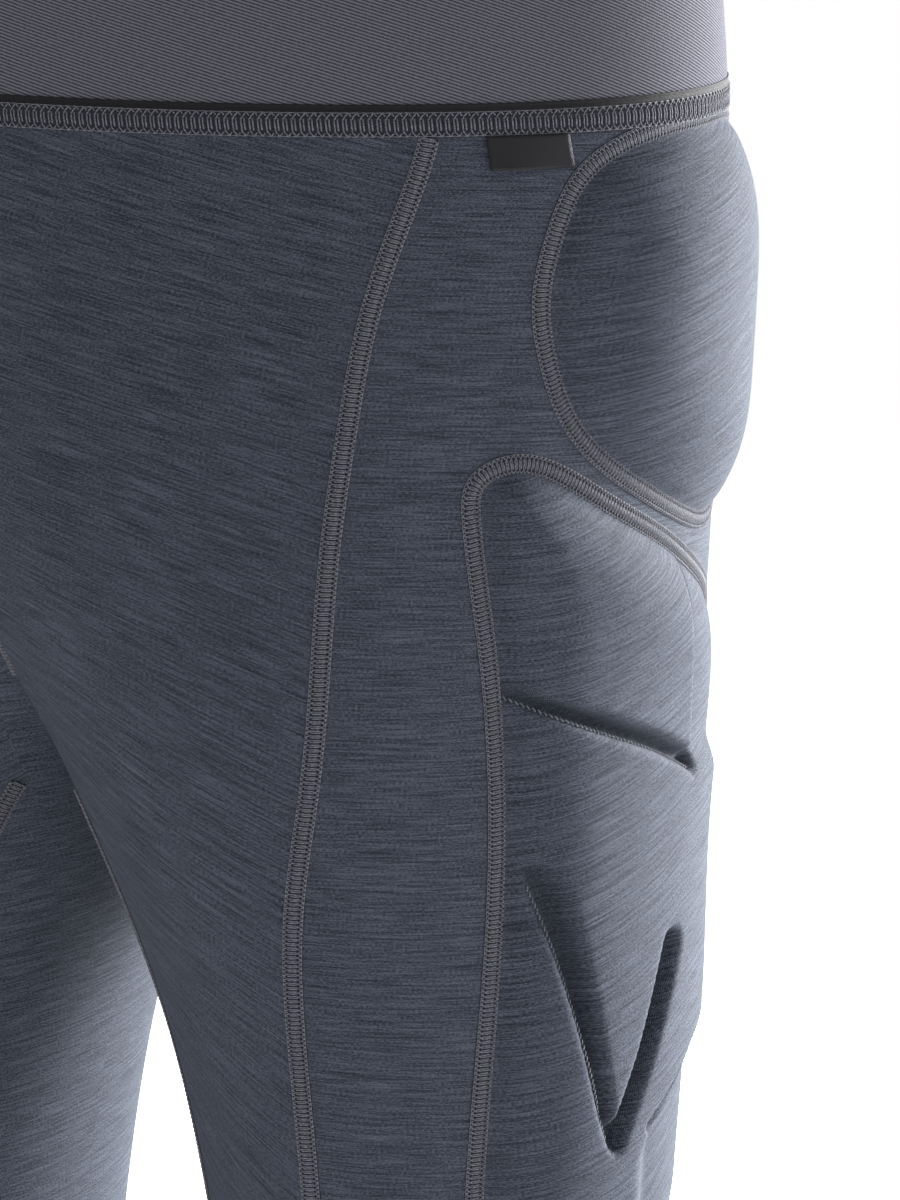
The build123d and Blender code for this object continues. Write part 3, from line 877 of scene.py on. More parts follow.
@dataclass
class HalfCloth:
    """One dense sheet over the left half, later divided at the seams into the sewn panels."""

    top: float = 42.5
    foot: float = 478.0
    widest: float = 480.0
    pitch: float = 1.1
    pad_edge: float = 45.0
    side: int = 1
    turn: np.ndarray = field(init=False)
    depth: np.ndarray = field(init=False)
    flat: np.ndarray = field(init=False)
    lift: np.ndarray = field(init=False)
    groove_shade_paint: np.ndarray = field(init=False)
    across: np.ndarray = field(init=False)

    def __post_init__(self) -> None:
        """Lay out the sheet."""
        rows = int((self.foot - self.top) / self.pitch) + 1
        columns = int(self.widest / self.pitch)
        depth = np.linspace(self.top, self.foot, rows)[:, None] * np.ones((1, columns))
        c, a, _, _ = SHAPE.section(depth)
        start = -np.arcsin(np.clip(c / a, -1.0, 1.0))
        share = np.linspace(0.0, 1.0, columns)[None, :]
        self.turn = start + share * (np.pi - 2.0 * start)
        self.depth = depth
        self.flat = SHAPE.point(self.turn, depth)
        outer = np.sin(self.turn) > OUTER_SINE
        self.lift = eased(RELIEF.lift(self.flat[..., 1], depth, outer))
        # painted shade: the groove depth is kept to darken the groove floors of the thigh cover in colour
        self.groove_shade_paint = eased(np.where(outer, RELIEF.press(self.flat[..., 1], depth), 0.0))
        steps = np.linalg.norm(np.diff(self.flat, axis=1), axis=2)
        run = np.concatenate([np.zeros((rows, 1)), np.cumsum(steps, axis=1)], axis=1)
        at = SHAPE.turn_at_front(FRONT_SEAM.at_depth(depth[:, 0]), depth[:, 0])
        zero = np.array([np.interp(t, row, length) for t, row, length in zip(at, self.turn, run)])
        self.across = run - zero[:, None]

    def places(self, lift: np.ndarray | float) -> np.ndarray:
        """Points of the sheet at an outward push.

        Args:
            lift: Millimetres outward.

        Returns:
            Points as rows by columns by 3.
        """
        push = np.asarray(lift) * np.ones(self.depth.shape)
        spots = self.flat + SHAPE.normal(self.turn, self.depth) * push[..., None]
        spots[..., 0] = np.where(self.flat[..., 0] < 1e-6, np.maximum(self.flat[..., 0], 0.0), spots[..., 0])
        return spots

    def masks(self) -> dict[str, np.ndarray]:
        """Which panel each place of the sheet belongs to.

        Returns:
            Panel name to a mask over the faces.
        """
        mid = cell_mean(self.flat)
        x, y, d = mid[..., 0], mid[..., 1], -mid[..., 2]
        front = np.cos(cell_middle(self.turn)) > 0
        outer = np.where(front, x > FRONT_SEAM.at_depth(d), x > BACK_SEAM.at_depth(d))
        gusset = (x < GUSSET_HALF) & (d > GUSSET_TOP)
        ahead = front & ~outer & ~gusset & ((d < INSEAM_TOP) | (x > INSEAM.at_depth(d)))
        hip = inside(HIP_LINE, y, d) > 0
        thigh = inside(THIGH_LINE, y, d) > 0
        return {
            "front_panel": ahead,
            "side_panel": outer & ~hip & ~thigh,
            "hip_cover": outer & hip,
            "thigh_cover": outer & thigh,
            "back_panel": ~outer & ~ahead & ~gusset,
            "gusset": gusset,
        }

    def grain(self, name: str) -> tuple[np.ndarray, np.ndarray]:
        """Course and wale lengths, with the panel's own grain slope.

        Args:
            name: Panel name.

        Returns:
            Lengths across and along, in metres.
        """
        u, d = self.across, self.depth
        if name == "front_panel":
            slope = 0.24 + 0.20 * smooth(d, 90.0, 230.0) + 0.34 * smooth(d, 230.0, 400.0)
        elif name == "side_panel":
            slope = 0.05 + 0.0 * d
        elif name in ("hip_cover", "thigh_cover"):
            slope = -0.02 - 0.0016 * np.clip(u - self.pad_edge, 0.0, 90.0)
        else:
            slope = 0.1 + 0.0 * d
        shift = 0.31 * (1 + list("fshtbg").index(name[0]))
        return (u * MM + shift), (d - slope * u) * MM * self.side + shift

    def cut(
        self, name: str, mask: np.ndarray, lift: np.ndarray | float, under: float | None = None
    ) -> tuple[np.ndarray, ...]:
        """Make one panel, or a closed slab where under is given.

        Args:
            name: Panel name, which also sets the grain slope.
            mask: Faces kept.
            lift: Millimetres outward of the outer face.
            under: Millimetres outward of the inner face, for a closed slab.

        Returns:
            Points, faces, across and along lengths per point.
        """
        rows, columns = self.depth.shape
        quads = grid_quads(np.arange(rows * columns).reshape(rows, columns))[mask]
        used, inverse = np.unique(quads.ravel(), return_inverse=True)
        faces = inverse.reshape(-1, 4)
        points = self.places(lift).reshape(-1, 3)[used]
        u, v = (g.ravel()[used] for g in self.grain(name))
        if under is not None:
            low = self.places(under).reshape(-1, 3)[used]
            n = len(used)
            edges = np.concatenate([faces[:, [i, (i + 1) % 4]] for i in range(4)])
            key = np.sort(edges, axis=1)
            _, first, count = np.unique(key, axis=0, return_index=True, return_counts=True)
            rim = edges[first[count == 1]]
            walls = np.stack([rim[:, 1], rim[:, 0], rim[:, 0] + n, rim[:, 1] + n], axis=1)
            faces = np.concatenate([faces, faces[:, ::-1] + n, walls])
            points, u, v = np.concatenate([points, low]), np.tile(u, 2), np.tile(v, 2)
        if self.side < 0:
            points, faces = points * MIRROR, faces[:, ::-1]
        return points, faces, u, v

    def values(self, mask: np.ndarray, grid: np.ndarray) -> np.ndarray:
        """Read a grid of numbers at the points that cut() keeps.

        Args:
            mask: Faces kept.
            grid: Numbers on the sheet.

        Returns:
            One number per kept point.
        """
        quads = grid_quads(np.arange(self.depth.size).reshape(self.depth.shape))[mask]
        return grid.ravel()[np.unique(quads.ravel())]


# ---------------------------------------------------------------- stitches
@dataclass(frozen=True)
class Strand:
    """One thread path in seam lengths: along the seam, across it and above the cloth."""

    path: tuple
    thick: float


@dataclass(frozen=True)
class StitchPattern:
    """A repeat of threads along a seam."""

    wide: float
    pitch: float
    ridge: float
    strands: tuple


def flatlock(wide: float, pitch: float) -> StitchPattern:
    """Flatlock: slanted ladder threads between two columns, with thin looping edges.

    Args:
        wide: Width over the edge loops.
        pitch: Length of one stitch.

    Returns:
        The repeat.
    """
    h, p = wide / 2.0, pitch
    bars = (
        Strand(((0.0, -0.5 * h, 0.3), (0.08 * p, 0.0, 0.6), (0.16 * p, 0.5 * h, 0.3)), 0.25),
        Strand(((0.4 * p, -0.5 * h, 0.3), (0.48 * p, 0.0, 0.6), (0.56 * p, 0.5 * h, 0.3)), 0.25),
    )
    # each edge loop as shares of the stitch length and of the half width, a height, and how thick it is
    loops = (
        (((0.1, 0.42, 0.45), (0.2, 0.6, 0.45), (0.32, 0.74, 0.3)), 0.22),
        (((0.3, 0.7, 0.35), (0.5, 0.85, 0.45), (0.62, 1.0, 0.2)), 0.22),
        (((0.62, 1.0, 0.2), (0.82, 0.85, 0.4), (1.0, 0.7, 0.3)), 0.2),
        (((0.0, 0.97, 0.2), (0.5, 1.0, 0.25), (1.0, 0.97, 0.2)), 0.15),
    )
    edges = [
        Strand(tuple((along * p, across * w, up) for along, across, up in path), thick)
        for w in (-h, h)
        for path, thick in loops
    ]
    return StitchPattern(wide, pitch, 0.35, bars + tuple(edges))


TAPE_COLUMNS = 9


def sew(points: np.ndarray, normals: np.ndarray, pattern: StitchPattern, closed: bool = False) -> tuple:
    """Lay a stitch pattern along a line on the cloth.

    Args:
        points: Line points, millimetres.
        normals: Outward directions at the points.
        pattern: The repeat.
        closed: Whether the line closes on itself.

    Returns:
        Thread points and faces, and tape points and faces.
    """
    if closed:
        points, normals = np.vstack([points, points[:1]]), np.vstack([normals, normals[:1]])
    run = np.concatenate([[0.0], np.cumsum(np.linalg.norm(np.diff(points, axis=0), axis=1))])
    total = run[-1]
    count = max(int(total / pattern.pitch), 1)
    pitch = total / count
    sides = 6

    def at(rows: np.ndarray, s: np.ndarray) -> np.ndarray:
        """Read points or directions at lengths along the line.

        Args:
            rows: Points or directions of the line.
            s: Lengths along it.

        Returns:
            Interpolated rows.
        """
        return np.stack([np.interp(s, run, rows[:, i]) for i in range(3)], axis=-1)

    def place(s: np.ndarray, w: np.ndarray, h: np.ndarray) -> np.ndarray:
        """Places beside the line.

        Args:
            s: Lengths along the line.
            w: Distances across it.
            h: Heights above the cloth.

        Returns:
            Points with a last axis of 3.
        """
        s = np.clip(s, 0.0, total)
        n = unit(at(normals, s))
        side = np.cross(unit(at(points, s + 1.0) - at(points, s - 1.0)), n)
        return at(points, s) + side * w[..., None] + n * h[..., None]

    verts, quads, base = [], [], 0
    starts = np.arange(count) * pitch
    for strand in pattern.strands:
        path = np.array(strand.path, float)
        path[:, 0] *= pitch / pattern.pitch
        m = len(path)
        s = starts[:, None] + path[None, :, 0]
        w = np.tile(path[:, 1], (count, 1))
        h = np.tile(path[:, 2], (count, 1))
        centre = place(s, w, h)
        run_dir = unit(np.gradient(centre, axis=1))
        side = unit(np.cross(run_dir, place(s, w, h + 0.5) - centre))
        up = np.cross(side, run_dir)
        angle = np.arange(sides) / sides * 2 * np.pi
        ring = centre[:, :, None, :] + strand.thick * (
            np.cos(angle)[None, None, :, None] * side[:, :, None, :]
            + np.sin(angle)[None, None, :, None] * up[:, :, None, :]
        )
        verts.append(ring.reshape(-1, 3))
        index = base + np.arange(count * m * sides).reshape(count, m, sides)
        nxt = np.roll(index, -1, axis=2)
        quads.append(np.stack([index[:, :-1], nxt[:, :-1], nxt[:, 1:], index[:, 1:]], axis=-1).reshape(-1, 4))
        for end in (index[:, 0, ::-1], index[:, -1]):
            quads.append(end[:, [0, 1, 2, 3]])
            quads.append(end[:, [3, 4, 5, 0]])
        base += count * m * sides
    cross = np.linspace(-1.0, 1.0, TAPE_COLUMNS)
    along = np.linspace(0.0, total, max(int(total / 1.6), 4))
    s = along[:, None] * np.ones((1, TAPE_COLUMNS))
    w = np.ones((len(along), 1)) * cross[None] * (pattern.wide / 2.0 + 0.5)
    tucked = 0.3 * (np.abs(cross) > 0.99)
    h = np.ones((len(along), 1)) * (pattern.ridge * (1 - cross**4))[None] + 0.05 - tucked
    tape = place(s, w, h)
    index = np.arange(s.size).reshape(s.shape)
    tape_quads = grid_quads(index).reshape(-1, 4)[:, [0, 3, 2, 1]]
    return np.concatenate(verts), np.concatenate(quads), tape.reshape(-1, 3), tape_quads


def stitched(name: str, sewn: tuple, side: int = 1, lean: float = 1.0) -> bpy.types.Object:
    """Make a seam of threads on a raised overlap of cloth.

    Args:
        name: Piece name.
        sewn: Thread points and faces, and tape points and faces, from sew().
        side: 1 on the left or in the middle, -1 for the mirror image.
        lean: Share of the front-to-back place in the grain, 0 for a seam in the middle plane.

    Returns:
        The new object, dressed.
    """
    threads, faces, tape, tape_faces = sewn
    joined = np.concatenate([threads, tape]) * np.array([side, 1.0, 1.0])
    quads = np.concatenate([faces, tape_faces + len(threads)])
    item = to_object(f"{name}_stitched", joined, quads[:, ::-1] if side < 0 else quads)
    set_grain(item, (joined[:, 0] + lean * joined[:, 1]) * MM, joined[:, 2] * MM)
    dress(item, Finish.THREAD)
    # the overlap under the threads is darker than the panels, a painted shade for the gaps between the
    # threads
    item.data.materials.append(material_of(Finish.TAPE))
    slots = np.zeros(len(quads), np.int32)
    slots[len(faces):] = 1
    item.data.polygons.foreach_set("material_index", slots)
    return item


def loose_threads(name: str, threads: np.ndarray, faces: np.ndarray) -> bpy.types.Object:
    """Make a row of run stitches, which has no overlap under it.

    Args:
        name: Piece name.
        threads: Thread points.
        faces: Thread faces.

    Returns:
        The new object, dressed.
    """
    item = to_object(name, threads, faces)
    set_grain(item, threads[:, 0] * MM, threads[:, 2] * MM)
    dress(item, Finish.THREAD)
    return item


# ---------------------------------------------------------------- sewing the garment
SIDES = ((1, "left"), (-1, "right"))
# a curved panel laid flat is a little longer than its height
LAID_FLAT = 1.02
# share of the cut rectangle that a shaped panel fills
FILLED = 0.8


def follow_hip(item: bpy.types.Object) -> None:
    """Bake the transform of a piece that crosses the hip, between the pelvis and the leg, into its mesh.

    Args:
        item: Piece.
    """
    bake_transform(item)


def say_sheet(item: bpy.types.Object, wide: float | None = None) -> None:
    """Log a cut cloth panel with the size of the cloth that it takes.

    Args:
        item: Panel mesh.
        wide: Width of the panel in metres, or None where its length is its height.
    """
    area = sum(p.area for p in item.data.polygons)
    if wide is None:
        heights = [v.co[2] for v in item.data.vertices]
        tall = (max(heights) - min(heights)) * LAID_FLAT
        flat, area = (round(area / tall / FILLED, 3), round(tall, 3)), round(area, 4)
    else:
        flat, area = (round(wide / FILLED, 3), round(area / wide, 3)), round(area, 5)
    log.info("sheet %s: %.0f by %.0f mm, %.5f m2", item.name, flat[0] / MM, flat[1] / MM, area)


@dataclass
class ClothPanels:
    """The sewn jersey panels of one side, with the pad covers."""

    side: int
    word: str
    cloth: HalfCloth
    stand_for: tuple = (
        ("front_panel", ("front_panel", "leg_front_panel")),
        ("side_panel", ("side_panel", "leg_side_panel")),
        ("back_panel", ("seat_panel", "leg_back_panel")),
        ("hip_cover", ("hip_cover",)),
        ("thigh_cover", ("thigh_cover_upper", "thigh_cover_lower")),
    )

    def mesh(self) -> None:
        """Cut and dress every panel of this side, and hang the hip cover on the pelvis."""
        masks = self.cloth.masks()
        for name, nodes in self.stand_for:
            points, faces, u, v = self.cloth.cut(name, masks[name], self.cloth.lift)
            if name == "side_panel":
                backing = masks["hip_cover"] | masks["thigh_cover"]
                more, quads, u2, v2 = self.cloth.cut(name, backing, -0.4)
                faces = np.concatenate([faces, quads + len(points)])
                points, u, v = np.concatenate([points, more]), np.append(u, u2), np.append(v, v2)
            item = to_object(f"{self.word}_{name}_cloth", points, faces)
            set_grain(item, u, v)
            # painted shade: the thigh cover carries the groove depth that darkens its colour in the grooves
            if name == "thigh_cover":
                store_groove_shade(item, self.cloth.values(masks[name], self.cloth.groove_shade_paint))
            dress(item, Finish.JERSEY)
            if name in ("hip_cover", "thigh_cover"):
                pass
            else:
                say_sheet(item)
            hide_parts(*[f"{self.word}_{n}" for n in nodes])
            if name == "hip_cover":
                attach(item, "pelvis")
            else:
                follow_hip(item)
            log.info("piece %s", item.name)


@dataclass
class FoamBlocks:
    """The foam under the covers of one side."""

    side: int
    word: str
    cloth: HalfCloth
    inset: float = 6.5
    lowest: float = 0.6
    under_cover: float = 1.6
    thick: tuple[float, float] = (0.9, 7.5)

    def mesh(self) -> None:
        """Cut the foam blocks between the grooves."""
        mid = cell_middle(self.cloth.flat)
        y, d = mid[..., 1], -mid[..., 2]
        outer = np.sin(cell_middle(self.cloth.turn)) > OUTER_SINE
        hip = outer & (inside(HIP_LINE, y, d) > self.inset)
        thigh = outer & (inside(THIGH_LINE, y, d) > self.inset)
        upper_line = np.interp(y, [-70, -44, -21, 28, 75], [205, 216, 226, 246, 257])
        v_line = np.interp(y, [-64, -45, -16, 5, 12, 75], [216, 270, 353, 312, 298, 288])
        high = thigh & (d < upper_line - 7)
        low = thigh & (d > v_line + 5)
        blocks = {
            "hip_foam": hip,
            "thigh_foam_upper_front": high & (y < 15.0),
            "thigh_foam_upper_rear": high & (y > 31.0),
            "thigh_foam_main": thigh & (d > upper_line + 4) & (d < v_line - 7),
            "thigh_foam_low_front": low & (y < -22.0),
            "thigh_foam_low_rear": low & (y > -10.0),
        }
        top = np.clip(self.cloth.lift - self.under_cover, *self.thick)
        for name, mask in blocks.items():
            points, faces, u, v = self.cloth.cut("hip_cover", mask, top, self.lowest)
            item = to_object(f"{self.word}_{name}_block", points, faces)
            set_grain(item, u, v)
            dress(item, Finish.FOAM)
            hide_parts(f"{self.word}_{name}")
            if name == "hip_foam":
                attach(item, "pelvis")
            else:
                follow_hip(item)


@dataclass
class Seams:
    """The flatlock seams of one side, as threads on a raised overlap."""

    side: int
    word: str
    wide: float = 5.8
    pitch: float = 1.4
    top: float = 46.0
    fork: float = 252.0
    foot: float = 477.0

    def lay(self, name: str, turn: np.ndarray, depth: np.ndarray, nodes: tuple, closed: bool = False) -> None:
        """Sew one seam.

        Args:
            name: Piece name.
            turn: Angles of the line.
            depth: Depths of the line.
            nodes: CAD nodes that it stands for.
            closed: Whether the line closes on itself.
        """
        pattern = flatlock(self.wide, self.pitch)
        sewn = sew(SHAPE.point(turn, depth), SHAPE.normal(turn, depth), pattern, closed)
        item = stitched(f"{self.word}_{name}", sewn, self.side)
        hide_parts(*[f"{self.word}_{n}" for n in nodes])
        if name == "hip_cover_seam":
            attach(item, "pelvis")
        else:
            follow_hip(item)

    def mesh(self) -> None:
        """Sew every seam of this side."""
        span, leg = (self.top, self.foot), (self.fork, self.foot)
        self.lay("front_seam", *FRONT_SEAM.trace(span), ("front_seam_upper", "front_seam_lower"))
        self.lay("back_seam", *BACK_SEAM.trace(span), ("back_seam_upper", "back_seam_lower"))
        self.lay("inseam_seam", *INSEAM.trace(leg), ("inseam_seam",))
        self.lay("hip_cover_seam", *HIP_LINE.trace(), ("hip_cover_seam",), True)
        thigh_nodes = ("thigh_cover_seam_upper", "thigh_cover_seam_lower")
        self.lay("thigh_cover_seam", *THIGH_LINE.trace(), thigh_nodes, True)


@dataclass
class GrooveStitches:
    """Small run stitches that hold the cover down along the grooves of the thigh pad."""

    side: int
    word: str
    pitch: float = 1.9
    drop: float = 0.7

    def mesh(self) -> None:
        """Sew the rows."""
        knots = ((0.0, -0.35, 0.05), (0.22, -0.1, 0.35), (0.5, 0.25, 0.35), (0.7, 0.4, 0.05))
        strand = Strand(tuple((s * self.pitch, w, h) for s, w, h in knots), 0.24)
        pattern = StitchPattern(1.0, self.pitch, 0.0, (strand,))
        verts, quads, base = [], [], 0
        for line, shift in (
            (RELIEF.upper, (0.0, self.drop)),
            (RELIEF.v_front, (-self.drop, 0.0)),
            (RELIEF.lower, (0.0, self.drop)),
        ):
            y, depth = SeamLine(tuple((a + shift[0], b + shift[1]) for a, b in line), "side").dense(1.0)
            turn = SHAPE.turn_at_side(y, depth)
            lift = RELIEF.lift(y, depth, np.ones(len(y), bool))
            normals = SHAPE.normal(turn, depth)
            points = SHAPE.point(turn, depth) + normals * (lift + 0.05)[:, None]
            threads, faces, _, _ = sew(points, normals, pattern)
            verts.append(threads)
            quads.append(faces + base)
            base += len(threads)
        joined = np.concatenate(verts) * np.array([self.side, 1.0, 1.0])
        faces = np.concatenate(quads)
        faces = faces[:, ::-1] if self.side < 0 else faces
        item = loose_threads(f"{self.word}_thigh_groove_stitches", joined, faces)
        follow_hip(item)


BAND_HEIGHT = 42.0
RING_COLUMNS = 420
WAIST_RADIUS = 160.0
HEM_RADIUS = 75.0


def ring_slab(
    name: str, top: float, foot: float, low: float, high: float, side: int = 0, rolled: float = 0.6
) -> bpy.types.Object:
    """A closed band round the waist or round one leg.

    Args:
        name: Piece name.
        top: Depth of its upper edge.
        foot: Depth of its lower edge.
        low: Inner face, millimetres outward.
        high: Outer face, millimetres outward.
        side: 0 for the waist, 1 or -1 for one leg.
        rolled: How far the faces round off at the edges.

    Returns:
        The new object with its grain set.
    """
    columns, rows = RING_COLUMNS, max(int((foot - top) / 1.5), 6)
    turn = np.linspace(-np.pi, np.pi, columns, endpoint=False)[None, :]
    depth = np.linspace(top, foot, rows)
    edge = np.minimum(depth - top, foot - depth)
    round_off = rolled * (1.0 - smooth(edge, 0.0, 2.0))
    loops_d = np.concatenate([depth, depth[::-1]])
    loops_h = np.concatenate([high - round_off, (low + round_off)[::-1]])
    dd = loops_d[:, None] * np.ones((1, columns))
    tt = turn * np.ones((len(loops_d), 1))
    if side == 0:
        c, a, m, b = SHAPE.section(np.minimum(dd, BAND_HEIGHT))
        flat = np.stack([(a + c) * np.sin(tt), m - b * np.cos(tt), -dd], axis=-1)
        out = np.stack([np.sin(tt) / a, -np.cos(tt) / b, 0 * tt], axis=-1)
    else:
        flat, out = SHAPE.point(tt, dd), SHAPE.normal(tt, dd)
    points = flat + unit(out) * loops_h[:, None, None]
    if side < 0:
        points[..., 0] *= -1.0
    index = np.arange(points.shape[0] * columns).reshape(-1, columns)
    down = np.roll(index, -1, axis=0)
    quads = np.stack([index, down, np.roll(down, -1, axis=1), np.roll(index, -1, axis=1)], axis=-1)
    quads = quads.reshape(-1, 4)
    if side < 0:
        quads = quads[:, ::-1]
    item = to_object(name, points.reshape(-1, 3), quads)
    radius = WAIST_RADIUS if side == 0 else HEM_RADIUS
    set_grain(item, (tt * radius * MM).ravel(), (dd * MM).ravel())
    return item


@dataclass
class WaistBand:
    """The twill elastic, its dark lower edge and the cover-stitch that joins it."""

    edge_top: float = 37.0
    edge_foot: float = 39.2
    stitch_at: float = 42.8
    stitch_wide: float = 7.0
    stitch_pitch: float = 2.45
    stitch_steps: int = 900
    cut_size: tuple[float, float] = (0.90, 0.042)

    def mesh(self) -> None:
        """Make and dress the band."""
        band = ring_slab("waistband_twill", 0.0, BAND_HEIGHT, -2.0, 0.4)
        dress(band, Finish.TWILL)
        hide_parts("waistband")
        say_band(band, *self.cut_size)
        edge = ring_slab("waistband_dark_edge", self.edge_top, self.edge_foot, 0.2, 0.85)
        dress(edge, Finish.EDGE)
        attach(band, "pelvis")
        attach(edge, "pelvis")
        turn = np.linspace(0.0, 2 * np.pi, self.stitch_steps, endpoint=False)
        depth = np.full(self.stitch_steps, self.stitch_at)
        c, a, m, b = SHAPE.section(np.full(self.stitch_steps, BAND_HEIGHT))
        points = np.stack([(a + c) * np.sin(turn), m - b * np.cos(turn), -depth], axis=-1)
        normals = unit(np.stack([np.sin(turn) / a, -np.cos(turn) / b, 0 * turn], axis=-1))
        pattern = flatlock(self.stitch_wide, self.stitch_pitch)
        item = stitched("waist_coverstitch", sew(points + normals * 0.4, normals, pattern, True))
        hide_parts("waist_coverstitch")
        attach(item, "pelvis")


def say_band(item: bpy.types.Object, length: float, width: float) -> None:
    """Report the size that a narrow elastic band is cut to.

    Args:
        item: Band mesh.
        length: Cut length in metres.
        width: Width in metres.
    """
    log.info("band %s: %.0f by %.0f mm", item.name, length * 1000, width * 1000)


@dataclass
class HemBands:
    """The gripper elastic inside each hem."""

    top: float = 477.6
    foot: float = 500.0
    cut_size: tuple[float, float] = (0.40, 0.022)

    def mesh(self) -> None:
        """Make both bands."""
        for side, word in SIDES:
            item = ring_slab(f"{word}_hem_gripper_band", self.top, self.foot, -1.2, 0.5, side)
            dress(item, Finish.GRIPPER)
            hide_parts(f"{word}_hem_gripper")
            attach(item, f"{word}_leg")
            say_band(item, *self.cut_size)


def ribbon(
    name: str, outer: np.ndarray, inner: np.ndarray, x: np.ndarray, depth: np.ndarray, flip: bool = False
) -> bpy.types.Object:
    """Make a thin closed ribbon between two sheets of points.

    Args:
        name: Piece name.
        outer: Points of one face, rows by columns by 3.
        inner: Points of the other face.
        x: Length across at each point, for the grain.
        depth: Length along at each point, for the grain.
        flip: Whether the faces are turned over.

    Returns:
        The new object with its grain set.
    """
    index = np.arange(x.size).reshape(x.shape)
    face, n = grid_quads(index).reshape(-1, 4), index.size
    loop = np.concatenate([index[0, :-1], index[:-1, -1], index[-1, :0:-1], index[:0:-1, 0]])
    after = np.roll(loop, -1)
    walls = np.stack([loop, after, after + n, loop + n], axis=1)
    faces = np.concatenate([face, face[:, ::-1] + n, walls])
    points = np.concatenate([outer.reshape(-1, 3), inner.reshape(-1, 3)])
    item = to_object(name, points, faces[:, ::-1] if flip else faces)
    set_grain(item, np.tile((x * MM).ravel(), 2), np.tile((depth * MM).ravel(), 2))
    return item


